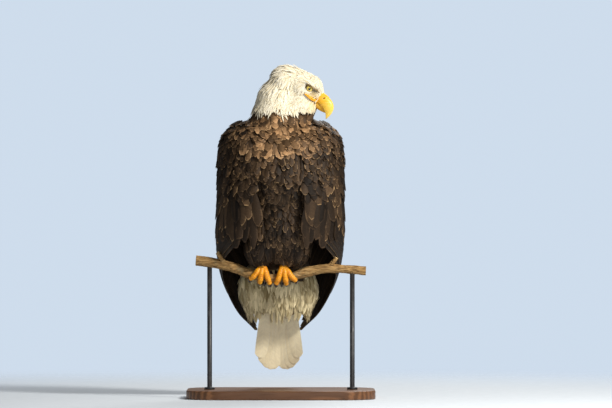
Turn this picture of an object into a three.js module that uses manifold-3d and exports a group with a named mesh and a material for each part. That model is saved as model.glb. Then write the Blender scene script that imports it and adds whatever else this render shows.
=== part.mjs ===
// A life-size bald eagle, perched upright with its head turned to its left, on a short cut
// branch carried by a plain display stand. Millimetres, +Z up. The bird faces -Y, its own left
// is +X, and the origin is the middle of the stand's underside.
//
// Flesh and feathers together are a soft union of eggs (ellipsoids). Each part of the body is
// the piece of that union that rays from the part's own centre reach, trimmed by thin cuts.

import * as THREE from "three";
import { ParametricGeometry } from "three/addons/geometries/ParametricGeometry.js";
import { mergeVertices } from "three/addons/utils/BufferGeometryUtils.js";
import Module from "manifold-3d";

const wasm = await Module();
wasm.setup();

const v3 = (x, y, z) => new THREE.Vector3(x, y, z);
const degrees = THREE.MathUtils.degToRad;

// ---------------------------------------------------------------- driving dimensions
const GAP = 0.3; // left between pieces that touch
const REACH = 260; // the longest ray cast from inside a part to its surface
const BLEND = 6; // how softly the eggs of the body run into each other

const BASE = { width: 470, depth: 330, thick: 22, corner: 90, bevel: 3 };
const ROD = { radius: 6, across: 178, collar: 13, collarTall: 6 };

// The bird stands over the perch, a little in front of the stand's middle, so that its breast
// and its tail reach equally far.
const PERCH_Y = -27;
const PERCH = {
  ends: 212,
  radiusLeft: 10.5,
  radiusRight: 12.5,
  // Height of the branch's axis at even steps from its right-hand to its left-hand end.
  heights: [344, 337, 326, 309, 299, 303, 317, 324, 322, 318],
  depths: [10, 6, 2, 0, 0, 0, 1, 3, 5, 4],
};

// The head's own frame sits midway between the eyes.
const HEAD = { at: v3(79, -38 + PERCH_Y, 771), yaw: degrees(70), pitch: degrees(35) };
const EYE = { forward: -0.5, across: 20, radius: 12 };
const THROAT = { point: v3(75, PERCH_Y, 713), normal: v3(-0.33, 0, -0.94) }; // parts head and neck
const COLLAR_Z = 704; // where the white neck ends
const FEET = [
  { side: "left", x: 6, splay: 1 },
  { side: "right", x: -45, splay: -1 },
];
const TOE_RADIUS = 7.4;
const TAIL = { root: v3(-6, 84 + PERCH_Y, 344), slant: degrees(19), long: 292, half: 62 };

// ---------------------------------------------------------------- materials
function finish(colour, roughness) {
  return new THREE.MeshStandardMaterial({ color: colour, roughness, metalness: 0 });
}
const MATERIALS = {
  white: finish(0xf2ead8, 0.8),
  brown: finish(0x4a382b, 0.85),
  darkBrown: finish(0x2c221b, 0.8),
  bill: finish(0xf2b431, 0.4),
  foot: finish(0xe9a320, 0.55),
  claw: finish(0x1c1a19, 0.3),
  eye: finish(0xe6d27a, 0.1),
  bark: finish(0xa08255, 0.9),
  board: finish(0x6b4a30, 0.5),
  rod: finish(0x2d2d2f, 0.45),
};

// ---------------------------------------------------------------- solids
// A closed mesh as a manifold solid, with its collapsed faces dropped, its faces outwards and
// its surface moved out along its normals by grow.
function solidOf(geometry, grow = 0) {
  const bare = geometry.clone();
  bare.deleteAttribute("normal");
  bare.deleteAttribute("uv");
  const merged = mergeVertices(bare, 1e-3);
  const corners = merged.index.array;
  const faces = [];
  for (let i = 0; i < corners.length; i += 3) {
    const [a, b, c] = corners.slice(i, i + 3);
    if (a !== b && b !== c && a !== c) faces.push(a, b, c);
  }
  const build = () =>
    new wasm.Manifold(
      new wasm.Mesh({
        numProp: 3,
        vertProperties: new Float32Array(merged.attributes.position.array),
        triVerts: new Uint32Array(faces),
      }),
    );
  if (build().volume() < 0) faces.reverse();
  if (grow) {
    merged.setIndex(faces);
    merged.computeVertexNormals();
    const { position, normal } = merged.attributes;
    position.array.forEach((value, i) => {
      position.array[i] = value + normal.array[i] * grow;
    });
  }
  return build();
}

function geometryOf(solid) {
  const mesh = solid.getMesh();
  return new THREE.BufferGeometry()
    .setAttribute("position", new THREE.BufferAttribute(mesh.vertProperties, 3))
    .setIndex(new THREE.BufferAttribute(mesh.triVerts, 1));
}

// A solid from place(along, around), both 0 to 1, whose first and last rings close to points.
function closedSurface(place, alongSteps, aroundSteps, grow = 0) {
  const at = (u, v, target) => target.copy(place(v, u % 1));
  return solidOf(new ParametricGeometry(at, aroundSteps, alongSteps), grow);
}

// The half-space on the side of the plane that the normal points away from, as a large box.
function behindPlane(point, normal, shift = 0) {
  const size = 2000;
  const box = new THREE.BoxGeometry(size, size, size).translate(0, 0, -size / 2 + shift);
  const turn = new THREE.Quaternion().setFromUnitVectors(v3(0, 0, 1), normal.clone().normalize());
  return solidOf(box.applyQuaternion(turn).translate(point.x, point.y, point.z));
}

const joined = (solids) => solids.reduce((sum, solid) => sum.add(solid));

// The largest separate piece, so that a cut leaves no crumbs.
function largest(solid) {
  return solid.decompose().reduce((a, b) => (a.volume() > b.volume() ? a : b));
}

// ---------------------------------------------------------------- smooth values along a row
// Catmull-Rom value at share t, 0 to 1, of evenly spaced numbers.
function along(values, t) {
  const last = values.length - 1;
  const place = Math.min(Math.max(t, 0), 1) * last;
  const i = Math.min(Math.floor(place), last - 1);
  const f = place - i;
  const [a, b, c, d] = [i - 1, i, i + 1, i + 2].map((k) => values[Math.min(Math.max(k, 0), last)]);
  const curve = (2 * a - 5 * b + 4 * c - d) * f * f + (3 * b - a - 3 * c + d) * f ** 3;
  return 0.5 * (2 * b + (c - a) * f + curve);
}

// ---------------------------------------------------------------- the head's frame
function headAxes() {
  const { yaw, pitch } = HEAD;
  const forward = v3(
    Math.sin(yaw) * Math.cos(pitch),
    -Math.cos(yaw) * Math.cos(pitch),
    -Math.sin(pitch),
  );
  const right = v3(-Math.cos(yaw), -Math.sin(yaw), 0);
  return { forward, right, up: right.clone().cross(forward) };
}
const HEAD_AXES = headAxes();
const HEAD_TURN = new THREE.Quaternion().setFromRotationMatrix(
  new THREE.Matrix4().makeBasis(HEAD_AXES.forward, HEAD_AXES.right.clone().negate(), HEAD_AXES.up),
);

// A point given forward, to the bird's right and up from between the eyes.
function headPoint(forward, right, up) {
  return v3(0, 0, 0)
    .addScaledVector(HEAD_AXES.forward, forward)
    .addScaledVector(HEAD_AXES.right, right)
    .addScaledVector(HEAD_AXES.up, up)
    .add(HEAD.at);
}

// ---------------------------------------------------------------- eggs
const UPRIGHT = new THREE.Quaternion();
function egg(centre, radii, turn = UPRIGHT) {
  return { centre, radii: v3(...radii), turn, back: turn.clone().invert() };
}
const bodyEgg = (x, y, z, radii) => egg(v3(x, y + PERCH_Y, z), radii);
const headEgg = (forward, right, up, radii) => egg(headPoint(forward, right, up), radii, HEAD_TURN);

// The approximate distance from a point to an egg's surface, negative inside.
function eggDistance(point, { centre, radii, back }) {
  const p = point.clone().sub(centre).applyQuaternion(back).divide(radii);
  const near = p.length();
  return near < 1e-6 ? -radii.x : (near * (near - 1)) / p.divide(radii).length();
}

// The distance to the soft union of several eggs.
function flesh(eggs) {
  return (point) =>
    -BLEND * Math.log(eggs.reduce((sum, e) => sum + Math.exp(-eggDistance(point, e) / BLEND), 0));
}

const HEAD_EGGS = [
  headEgg(-30, 0, -5, [45, 31, 31]), // skull
  headEgg(-6, 0, 8, [24, 24, 21]), // brows
  headEgg(2, 0, -12, [25, 20, 20]), // face round the bill's base
  headEgg(-16, 0, -24, [34, 25, 22]), // cheeks and chin
  headEgg(13, 0, -3, [21, 15, 13]), // lores
  headEgg(9, 0, -23, [20, 12, 10]), // chin's tuft
  headEgg(-68, 0, -24, [39, 40, 39]), // hind crown
  bodyEgg(-6, -4, 737, [55, 57, 56]), // nape
  bodyEgg(50, -28, 728, [38, 40, 34]), // throat
];
const TRUNK_EGGS = [
  bodyEgg(1, -8, 700, [74, 66, 56]), // lower neck
  bodyEgg(0, -16, 578, [118, 96, 136]), // breast
  bodyEgg(0, 28, 600, [104, 78, 120]), // mantle
  bodyEgg(66, 2, 634, [64, 70, 62]), // left shoulder
  bodyEgg(-66, 2, 634, [64, 70, 62]), // right shoulder
  bodyEgg(-3, 4, 448, [106, 84, 104]), // belly
  bodyEgg(-4, 52, 408, [74, 50, 92]), // rump
];
const THIGHS = [
  [bodyEgg(36, -8, 392, [43, 46, 60]), bodyEgg(12, -2, 358, [22, 24, 26])],
  [bodyEgg(-54, -8, 392, [43, 46, 60]), bodyEgg(-48, -2, 364, [22, 24, 26])],
];

// The surface that rays from a centre reach, as a solid. Its poles lie along one direction. Each
// ray is walked out in steps until it leaves the flesh, and the last step is then halved.
function rayedSolid(centre, distance, { rings, spokes, pole = v3(0, 0, 1), grow = 0 }) {
  const turn = new THREE.Quaternion().setFromUnitVectors(v3(0, 0, 1), pole);
  const step = 5;
  const halvings = 12;
  const place = (share, round) => {
    const isPole = share === 0 || share === 1;
    const [polar, turned] = [Math.PI * share, isPole ? 0 : 2 * Math.PI * round];
    const ray = v3(
      Math.sin(polar) * Math.cos(turned),
      Math.sin(polar) * Math.sin(turned),
      Math.cos(polar),
    ).applyQuaternion(turn);
    const outside = (far) => distance(centre.clone().addScaledVector(ray, far)) > 0;
    let far = step;
    while (far < REACH && !outside(far)) far += step;
    let near = far - step;
    for (let i = 0; i < halvings; i++) {
      const middle = (near + far) / 2;
      if (outside(middle)) far = middle;
      else near = middle;
    }
    return centre.clone().addScaledVector(ray, far);
  };
  return closedSurface(place, rings, spokes, grow);
}

// ---------------------------------------------------------------- head, neck and trunk
const WHOLE_BODY = flesh([...HEAD_EGGS, ...TRUNK_EGGS]);
function makeHead(cutters) {
  const centre = headPoint(-34, 0, -6);
  const whole = rayedSolid(centre, WHOLE_BODY, { rings: 14, spokes: 18, pole: HEAD_AXES.forward });
  return largest(whole.intersect(behindPlane(THROAT.point, THROAT.normal, -GAP / 2)).subtract(cutters));
}

function makeNeck(cutters) {
  const whole = rayedSolid(v3(4, -8 + PERCH_Y, 724), WHOLE_BODY, { rings: 16, spokes: 20 });
  const above = whole.subtract(behindPlane(THROAT.point, THROAT.normal, GAP / 2));
  return largest(above.intersect(behindPlane(v3(0, 0, COLLAR_Z + GAP / 2), v3(0, 0, -1))).subtract(cutters));
}

function makeCore(grow = 0) {
  return rayedSolid(v3(0, 6 + PERCH_Y, 530), WHOLE_BODY, { rings: 18, spokes: 20, grow });
}

function makeTrunk(cutters) {
  const below = makeCore().intersect(behindPlane(v3(0, 0, COLLAR_Z - GAP / 2), v3(0, 0, 1)));
  return largest(below.subtract(cutters));
}

// ---------------------------------------------------------------- wings
// A folded wing is a crescent in plan at every height: an arc about a centre beside the
// spine, from its leading edge at the breast to its trailing edge over the back. The rows of
// numbers go down from the shoulder to the tip at even steps. Angles are from straight outwards.
const WING = {
  top: 703,
  tip: 150,
  shoulder: 0.15, // share of the height over which the shoulder rounds off
  topFlat: 0.06, // share of that rounding left as a flat top
  lean: -8, // how far the tips lie towards the bird's right
  edge: 0.35, // thickness at the edges, as a share of the middle's
  outer: [152, 156, 160, 160, 160, 159, 153, 136, 104, 50],
  centreX: [60, 34, 22, 20, 20, 20, 24, 34, 44, 44],
  centreY: [4, 4, 6, 8, 14, 24, 40, 62, 94, 158],
  reachY: [92, 106, 114, 118, 118, 112, 98, 80, 58, 12],
  leading: [-60, -66, -71, -72, -71, -62, -20, -2, 0, 0],
  trailing: [60, 66, 76, 84, 90, 95, 97, 97, 99, 90],
  thick: [18, 24, 26, 25, 22, 19, 15, 11, 7, 4],
};

function wingPoint(side, t, share, depth) {
  const angle = degrees(THREE.MathUtils.lerp(along(WING.leading, t), along(WING.trailing, t), share));
  const [x0, y0] = [along(WING.centreX, t), along(WING.centreY, t) + PERCH_Y];
  const rounded = Math.min(1, WING.topFlat + t / WING.shoulder);
  const dome = Math.sqrt(1 - (1 - rounded) ** 2);
  const x = x0 + dome * (along(WING.outer, t) - x0 - depth) * Math.cos(angle);
  const y = y0 + dome * (along(WING.reachY, t) - depth) * Math.sin(angle);
  return v3(side * x + WING.lean * t * t, y, THREE.MathUtils.lerp(WING.top, WING.tip, t));
}

// The wing's rings crowd together at its shoulder, where it rounds off fastest. Half the
// points of a ring lie on the outer face and half on the inner, with a blunt edge between.
function makeWing(side, grow = 0) {
  const spokes = 16;
  const onFace = spokes / 2 - 1;
  const place = (step, round) => {
    const t = step ** 1.5;
    const spoke = Math.round(round * spokes);
    const onOuter = spoke <= onFace;
    const share = onOuter ? spoke / onFace : (spokes - 1 - spoke) / onFace;
    const inner = along(WING.thick, t) * THREE.MathUtils.lerp(WING.edge, 1, Math.sin(Math.PI * share));
    if (step === 0 || step === 1) return wingPoint(side, t, 0.5, along(WING.thick, t) / 2);
    return wingPoint(side, t, share, onOuter ? 0 : inner);
  };
  return closedSurface(place, 20, spokes, grow);
}

// ---------------------------------------------------------------- tail
// One blade of the tail: a flat oval vane with a rounded tip, in the plane of the tail.
function tailBlade(shift, half, long, lift) {
  const { root, slant } = TAIL;
  const [down, back] = [v3(0, Math.sin(slant), -Math.cos(slant)), v3(0, Math.cos(slant), Math.sin(slant))];
  const tipShare = 0.34;
  const place = (step, round) => {
    const t = Math.sin((step * Math.PI) / 2);
    const far = THREE.MathUtils.clamp((t - (1 - tipShare)) / tipShare, 0, 1);
    const opening = step === 0 ? 0 : 0.5 + 0.5 * Math.min(1, t / 0.55);
    const broad = opening * Math.sqrt(1 - far ** 2.2);
    const turned = 2 * Math.PI * round;
    const thick = (1.2 + 3.2 * (1 - t)) * Math.min(1, 2 * broad);
    const across = shift * (0.35 + 0.65 * t) + half * broad * Math.cos(turned);
    return root
      .clone()
      .addScaledVector(down, long * t)
      .addScaledVector(back, lift + thick * Math.sin(turned) - (across / TAIL.half) ** 2 * 7)
      .add(v3(across, 0, 0));
  };
  return closedSurface(place, 12, 10);
}

function makeTail(cutters) {
  const { half, long } = TAIL;
  const left = tailBlade(half * 0.32, half * 0.68, long, 0.8);
  return largest(tailBlade(-half * 0.32, half * 0.68, long, 0).add(left).subtract(cutters));
}

// An ellipsoid leaning like the tail.
function leaningEgg(x, y, z, radii, grow) {
  const ball = new THREE.SphereGeometry(1, 12, 8).rotateX(Math.PI / 2).scale(...radii);
  return solidOf(ball.rotateX(TAIL.slant).translate(x, y + PERCH_Y, z), grow);
}

function makeCoverts(grow = 0) {
  return leaningEgg(-6, 76, 290, [78, 34, 86], grow)
    .add(leaningEgg(-78, 84, 266, [30, 24, 72], grow))
    .add(leaningEgg(64, 84, 260, [30, 24, 76], grow));
}

// ---------------------------------------------------------------- bill and eyes
const bezier = (points) =>
  new THREE.CubicBezierCurve3(...points.map(([forward, up]) => v3(forward, 0, up)));
const CULMEN = bezier([[23, 7.5], [51, 10], [88, 4], [72.5, -41]]);
const CUTTING_EDGE = bezier([[18, -15], [45, -17], [62, -19], [71.5, -42]]);
const MANDIBLE_TOP = bezier([[-10, -16], [16, -15], [42, -16], [64, -24]]);
const MANDIBLE_KEEL = bezier([[-8, -20], [18, -35], [46, -37.5], [64.5, -29]]);

// Half a bill's section: how far out and how high it lies, each from -1 to 1, at a share of the way
// round. It arches from the ridge down one side to the cutting edge, where it is nearly widest, and
// returns under a low roof to the other.
function billSection(round) {
  const turned = round <= 0.5 ? round * 2 : (1 - round) * 2;
  const height = Math.cos(Math.PI * Math.min(turned / 0.75, 1));
  const under = Math.max((turned - 0.75) / 0.25, 0);
  const out = Math.sqrt(1 - ((1 + height) / 2) ** 2.4) * (1 - 0.14 * ((1 - height) / 2) ** 4) * (1 - under);
  return [round <= 0.5 ? out : -out, height + 0.25 * Math.sin((Math.PI / 2) * under)];
}

// A solid between a ridge and a cutting edge in the head's middle plane, half as wide on each side
// as wide(t) says.
function billSolid(ridge, edge, wide, grow, steps) {
  const place = (t, round) => {
    const [top, bottom] = [ridge.getPoint(t), edge.getPoint(t)];
    const middle = top.clone().lerp(bottom, 0.5);
    const half = top.clone().sub(middle);
    const closed = t === 0 || t === 1 ? 0 : 1;
    const [out, height] = billSection(round);
    middle.addScaledVector(half, height * closed);
    return headPoint(middle.x, closed * wide(t) * out, middle.z);
  };
  return closedSurface(place, steps, 12, grow);
}
const makeUpperBill = (grow = 0) =>
  billSolid(CULMEN, CUTTING_EDGE, (t) => 12.6 * (1 - t ** 2.2) + 1, grow, 12);
const makeLowerBill = (grow = 0) =>
  billSolid(MANDIBLE_KEEL, MANDIBLE_TOP, (t) => 15 - 11.5 * t ** 1.3, grow, 10);

function makeEye(side, grow = 0) {
  const ball = new THREE.SphereGeometry(EYE.radius, 10, 7);
  const centre = headPoint(EYE.forward, side * EYE.across, 0);
  return solidOf(ball.translate(centre.x, centre.y, centre.z), grow);
}

// ---------------------------------------------------------------- perch and stand
// A tube of varying radius along place(t), with flat ends, whose rings stand across the path.
function taperedTube(place, radius, steps, sides, grow = 0) {
  const nudge = 1e-3;
  const ring = (t, round) => {
    const [a, b] = [place(Math.max(t - nudge, 0)), place(Math.min(t + nudge, 1))];
    const ahead = b.sub(a).normalize();
    const across = v3(0, 0, 1).addScaledVector(ahead, -ahead.z);
    if (across.length() < 0.3) across.copy(v3(1, 0, 0)).addScaledVector(ahead, -ahead.x);
    across.normalize();
    const other = ahead.clone().cross(across);
    const [turned, wide] = [2 * Math.PI * round, radius(t, round)];
    return place(t)
      .addScaledVector(across, wide * Math.cos(turned))
      .addScaledVector(other, wide * Math.sin(turned));
  };
  // The first and last steps cover no length: they are the flat ends.
  const share = (s) => Math.min(Math.max((s * (steps + 2) - 1) / steps, 0), 1);
  const capped = (s, round) => (s === 0 || s === 1 ? place(share(s)) : ring(share(s), round));
  return closedSurface(capped, steps + 2, sides, grow);
}

const perchPoint = (t) =>
  v3(
    THREE.MathUtils.lerp(-PERCH.ends, PERCH.ends, t),
    along(PERCH.depths, t) + PERCH_Y,
    along(PERCH.heights, t),
  );
const perchRadius = (t) =>
  THREE.MathUtils.lerp(PERCH.radiusRight, PERCH.radiusLeft, t) + 0.8 * Math.sin(31 * t) * Math.sin(13 * t);
const perchAt = (x) => perchPoint((x + PERCH.ends) / (2 * PERCH.ends));

function makePerch(grow = 0) {
  const limb = taperedTube(perchPoint, perchRadius, 18, 8, grow);
  const stub = (x, lean, long) => {
    const start = perchAt(x);
    const end = start.clone().add(v3(long * Math.sin(lean), -long * 0.35, long * Math.cos(lean)));
    return taperedTube((t) => start.clone().lerp(end, t), (t) => 6.5 - 2 * t, 2, 8, grow);
  };
  return limb.add(stub(-138, degrees(-32), 38)).add(stub(118, degrees(38), 34));
}

function makeRod(side, perch) {
  const x = side * ROD.across;
  const top = perchAt(x).z;
  const profile = [
    [0, BASE.thick],
    [ROD.collar, BASE.thick],
    [ROD.collar, BASE.thick + ROD.collarTall * 0.6],
    [ROD.collar - 2, BASE.thick + ROD.collarTall],
    [ROD.radius, BASE.thick + ROD.collarTall],
    [ROD.radius, top],
    [0, top],
  ].map(([r, z]) => new THREE.Vector2(r, z));
  const turned = new THREE.LatheGeometry(profile, 14).rotateX(Math.PI / 2);
  return largest(solidOf(turned.translate(x, perchAt(x).y, 0)).subtract(perch));
}

function makeBase() {
  const { width, depth, thick, corner, bevel } = BASE;
  const [w, d, r] = [width / 2 - bevel, depth / 2 - bevel, corner - bevel];
  const outline = new THREE.Shape();
  outline.absarc(w - r, d - r, r, 0, Math.PI / 2);
  outline.absarc(-w + r, d - r, r, Math.PI / 2, Math.PI);
  outline.absarc(-w + r, -d + r, r, Math.PI, 1.5 * Math.PI);
  outline.absarc(w - r, -d + r, r, 1.5 * Math.PI, 2 * Math.PI);
  const options = {
    depth: thick - 2 * bevel,
    bevelThickness: bevel,
    bevelSize: bevel,
    bevelSegments: 1,
    curveSegments: 5,
  };
  return solidOf(new THREE.ExtrudeGeometry(outline, options).translate(0, 0, bevel));
}

// ---------------------------------------------------------------- legs and feet
// A toe comes down over the branch in a spiral about its axis. Angles are in degrees round
// the branch: 90 is its top, 180 its front and 0 its back.
const TOES = [
  { name: "inner", from: 112, to: 226, rise: 12, spread: -18, claw: 40 },
  { name: "middle", from: 104, to: 238, rise: 14, spread: 8, claw: 38 },
  { name: "outer", from: 112, to: 222, rise: 12, spread: 32, claw: 33 },
  { name: "hind", from: 74, to: -42, rise: 9, spread: -4, claw: 42 },
];

function toePath(foot, toe) {
  const centre = perchAt(foot.x);
  const wrap = PERCH.radiusRight + TOE_RADIUS - 1.2;
  return (t) => {
    const angle = degrees(THREE.MathUtils.lerp(toe.from, toe.to, t));
    const far = wrap + toe.rise * (1 - t) ** 2;
    const sideways = foot.splay * toe.spread * t ** 0.8;
    const level = perchAt(foot.x + sideways).z - centre.z;
    return centre.clone().add(v3(sideways, far * Math.cos(angle), far * Math.sin(angle) + level * t));
  };
}

function makeFoot(foot, grow = 0) {
  const centre = perchAt(foot.x);
  const ankle = v3(foot.x, centre.y + 2, centre.z + 42);
  const palm = v3(foot.x, centre.y - 1, centre.z + 25);
  const shank = taperedTube((t) => ankle.clone().lerp(palm, t), (t) => 8.6 + 2.4 * t, 2, 7, grow);
  const toes = TOES.map((toe) => {
    const pads = (t) => TOE_RADIUS * (1.1 - 0.24 * t + 0.05 * Math.cos(6 * Math.PI * t));
    return taperedTube(toePath(foot, toe), pads, 5, 6, grow);
  });
  return joined([shank, ...toes]);
}

// A claw goes on round the branch from inside the end of its toe and tapers to a point.
function makeClaw(foot, toe) {
  const start = toePath(foot, toe)(1);
  const centre = perchAt(foot.x + foot.splay * toe.spread);
  const turning = Math.sign(toe.to - toe.from);
  const far = Math.hypot(start.z - centre.z, start.y - centre.y);
  const begin = Math.atan2(start.z - centre.z, start.y - centre.y) - (2 * turning) / far;
  const place = (t) => {
    const angle = begin + ((turning * toe.claw) / far) * t;
    const reach = far + t * (1.5 - t);
    return v3(start.x, centre.y + reach * Math.cos(angle), centre.z + reach * Math.sin(angle));
  };
  return taperedTube(place, (t) => 5.2 * (1 - t) ** 0.75 + 0.35, 6, 6);
}

function makeLeg(index, grow = 0) {
  const centre = THIGHS[index][0].centre.clone().lerp(THIGHS[index][1].centre, 0.3);
  return rayedSolid(centre, flesh(THIGHS[index]), { rings: 10, spokes: 12, grow });
}

// ---------------------------------------------------------------- the whole bird
const bird = new THREE.Group();
function show(name, solid, material) {
  const mesh = new THREE.Mesh(geometryOf(solid), material);
  mesh.name = name;
  bird.add(mesh);
}

show("stand_base", makeBase(), MATERIALS.board);
const perchGrown = makePerch(GAP);
show("perch", makePerch(), MATERIALS.bark);
show("stand_rod_left", makeRod(1, perchGrown), MATERIALS.rod);
show("stand_rod_right", makeRod(-1, perchGrown), MATERIALS.rod);

const upperBill = makeUpperBill();
const lowerBill = largest(makeLowerBill().subtract(makeUpperBill(GAP)));
show("bill_upper", upperBill, MATERIALS.bill);
show("bill_lower", lowerBill, MATERIALS.bill);
show("eye_left", makeEye(-1), MATERIALS.eye);
show("eye_right", makeEye(1), MATERIALS.eye);
const headCutters = joined([makeUpperBill(GAP), makeLowerBill(GAP), makeEye(-1, GAP), makeEye(1, GAP)]);

const wingsGrown = joined([1, -1].flatMap((side) => [makeWing(side), makeWing(side, GAP)]));
const legsGrown = joined([makeLeg(0, GAP), makeLeg(1, GAP)]);
const covertsGrown = makeCoverts(GAP);
show("head", makeHead(headCutters), MATERIALS.white);
show("neck", makeNeck(headCutters), MATERIALS.white);
show("trunk", makeTrunk(joined([wingsGrown, legsGrown, covertsGrown])), MATERIALS.brown);
show("wing_left", largest(makeWing(1).subtract(perchGrown)), MATERIALS.darkBrown);
show("wing_right", largest(makeWing(-1).subtract(perchGrown)), MATERIALS.darkBrown);
show("tail_coverts", largest(makeCoverts().subtract(joined([wingsGrown, legsGrown, perchGrown]))), MATERIALS.white);
show("tail", makeTail(joined([covertsGrown, wingsGrown])), MATERIALS.white);

const footCutters = joined([perchGrown, legsGrown, makeCore(GAP)]);
FEET.forEach((foot, index) => {
  show(`leg_${foot.side}`, makeLeg(index), MATERIALS.brown);
  show(`foot_${foot.side}`, largest(makeFoot(foot).subtract(footCutters)), MATERIALS.foot);
  const clawCutters = perchGrown.add(makeFoot(foot, GAP));
  TOES.forEach((toe) => {
    const claw = largest(makeClaw(foot, toe).subtract(clawCutters));
    show(`claw_${toe.name}_${foot.side}`, claw, MATERIALS.claw);
  });
});

export default bird;
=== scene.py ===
"""A life-size bald eagle on a short cut branch and a plain display stand.

One skin lies under the coat. The coat is made of thin closed vanes that lie along the body, each
rooted in the skin and rising to the outline at its tip. Lengths in the functions are millimetres,
in the frame's own axes, and build() turns them into metres.
"""

import math

import bmesh
import bpy
import numpy as np
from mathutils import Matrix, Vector


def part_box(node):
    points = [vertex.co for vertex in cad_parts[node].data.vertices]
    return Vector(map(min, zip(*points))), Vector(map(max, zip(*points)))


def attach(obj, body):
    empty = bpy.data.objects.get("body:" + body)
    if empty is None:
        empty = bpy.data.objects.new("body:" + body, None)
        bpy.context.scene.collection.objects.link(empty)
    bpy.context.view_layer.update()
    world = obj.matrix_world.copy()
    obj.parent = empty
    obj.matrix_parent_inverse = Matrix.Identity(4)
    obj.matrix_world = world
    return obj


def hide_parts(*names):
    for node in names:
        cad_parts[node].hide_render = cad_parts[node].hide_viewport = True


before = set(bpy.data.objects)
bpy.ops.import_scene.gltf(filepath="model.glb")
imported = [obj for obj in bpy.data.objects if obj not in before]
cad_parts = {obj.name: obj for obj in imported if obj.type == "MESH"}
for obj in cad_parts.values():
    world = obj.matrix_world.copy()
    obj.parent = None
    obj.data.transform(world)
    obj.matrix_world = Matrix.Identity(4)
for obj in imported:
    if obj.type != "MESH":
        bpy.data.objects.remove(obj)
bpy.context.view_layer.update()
BODY = "root"
MM = 0.001

# ---------------------------------------------------------------- sizes
PERCH_Y = -27  # the perch's line lies this far in front of the stand's middle
HEAD_AT = np.array([79.0, -65.0, 771.0])  # between the eyes
HEAD_YAW = math.radians(70)  # turned to the bird's left
HEAD_PITCH = math.radians(35)  # looking down
SOFTNESS = 6  # how widely neighbouring forms melt together
JOINED_SOFTNESS = 4.0  # the same, between the body and the wings
NUDGE = 0.5  # the small step by which a form's slope is measured
COLLAR = 746  # white feathers are rooted above this height
WING_TOP, WING_TIP = 703, 150
TAIL_SLANT = math.radians(19)
FREE_BELOW = 248  # the tail's coverts hang free below this height
EYE_RADIUS = 12.5
DOWN = np.array([0.0, 0.0, -1.0])
BOTH_SIDES = ((1, "left"), (-1, "right"))  # towards +X and towards -X


def reach(node):
    """The lowest and highest corners of a CAD node's box, in millimetres."""
    low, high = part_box(node)
    return np.array(low) / MM, np.array(high) / MM


# ---------------------------------------------------------------- whole-array maths
def unit(vectors):
    """Vectors divided by their lengths."""
    return vectors / np.maximum(np.linalg.norm(vectors, axis=-1, keepdims=True), 1e-9)


def dot(a, b):
    """The sum of the products of two rows of vectors."""
    return np.sum(a * b, axis=-1)


def mix(a, b, share):
    """The first value plus a share of the way to the second."""
    return a + (b - a) * share


def step(low, high, value):
    """0 below low, 1 above high, and a smooth S between: 3u^2 - 2u^3."""
    u = np.clip((value - low) / (high - low), 0, 1)
    return u * u * (3 - 2 * u)


def bump(value, centre, width):
    """A bell: e to the minus square of the distance from the centre over the width."""
    return np.exp(-(((value - centre) / width) ** 2))


def along(values, t):
    """Catmull-Rom value at share t, 0 to 1, of evenly spaced numbers."""
    values = np.asarray(values, float)
    last = len(values) - 1
    place = np.clip(t, 0, 1) * last
    i = np.minimum(place.astype(int), last - 1)
    f = place - i
    a, b, c, d = (values[np.clip(i + k, 0, last)] for k in (-1, 0, 1, 2))
    curve = (2 * a - 5 * b + 4 * c - d) * f**2 + (3 * b - a - 3 * c + d) * f**3
    return 0.5 * (2 * b + (c - a) * f + curve)


def bezier(points, t):
    """A cubic curve through the first and last of four points, pulled towards the middle two."""
    p = np.asarray(points, float)
    t = np.asarray(t, float)[..., None]
    return (1 - t) ** 3 * p[0] + 3 * t * (1 - t) ** 2 * p[1] + 3 * t**2 * (1 - t) * p[2] + t**3 * p[3]


def crowded(count, power):
    """Shares from 0 to 1 that lie closer together towards 1: 1 minus a power of 1 minus an even
    share."""
    return 1 - (1 - np.linspace(0, 1, count)) ** power


def circle(count):
    """Angles evenly round a circle."""
    return np.linspace(0, 2 * math.pi, count, endpoint=False)


def wheel(first, second, angle):
    """Directions round two axes: the first times the cosine plus the second times the sine."""
    return first * np.cos(angle)[..., None] + second * np.sin(angle)[..., None]


def ripple(points, size, seed):
    """Soft noise of about -1 to 1: six sine waves that cross at fixed random angles, over three."""
    rng = np.random.default_rng(seed)
    total = 0
    for _ in range(6):
        wave = unit(rng.normal(size=3)) * rng.uniform(0.7, 1.6) * 2 * math.pi / size
        total = total + np.sin(points @ wave + rng.uniform(0, 6.3))
    return total / 3


def srgb(red, green, blue):
    """A colour given as 0 to 255 on a screen, as the linear numbers that shaders use."""
    c = np.array([red, green, blue]) / 255
    return np.where(c <= 0.04045, c / 12.92, ((c + 0.055) / 1.055) ** 2.4)


# ---------------------------------------------------------------- the head's frame
RIGHT = np.array([-math.cos(HEAD_YAW), -math.sin(HEAD_YAW), 0])
FORWARD = np.array(
    [
        math.sin(HEAD_YAW) * math.cos(HEAD_PITCH),
        -math.cos(HEAD_YAW) * math.cos(HEAD_PITCH),
        -math.sin(HEAD_PITCH),
    ]
)
UP = np.cross(RIGHT, FORWARD)
HEAD_AXES = np.stack([FORWARD, RIGHT, UP])


def head_point(points):
    """Points given forward, to the bird's right and up from between the eyes, in the frame."""
    return HEAD_AT + np.asarray(points, float) @ HEAD_AXES


def in_head(points):
    """Points of the frame, given forward, right and up from between the eyes."""
    return np.moveaxis((points - HEAD_AT) @ HEAD_AXES.T, -1, 0)


# ---------------------------------------------------------------- the body's form
def turned_egg(degrees):
    """The axes of an egg turned about X."""
    c, s = math.cos(math.radians(degrees)), math.sin(math.radians(degrees))
    return np.array([[1, 0, 0], [0, c, s], [0, -s, c]])


def head_egg(forward, right, up, radii):
    """An egg of the head: its centre, radii and axes."""
    return head_point([forward, right, up]), np.array(radii, float), HEAD_AXES


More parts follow.
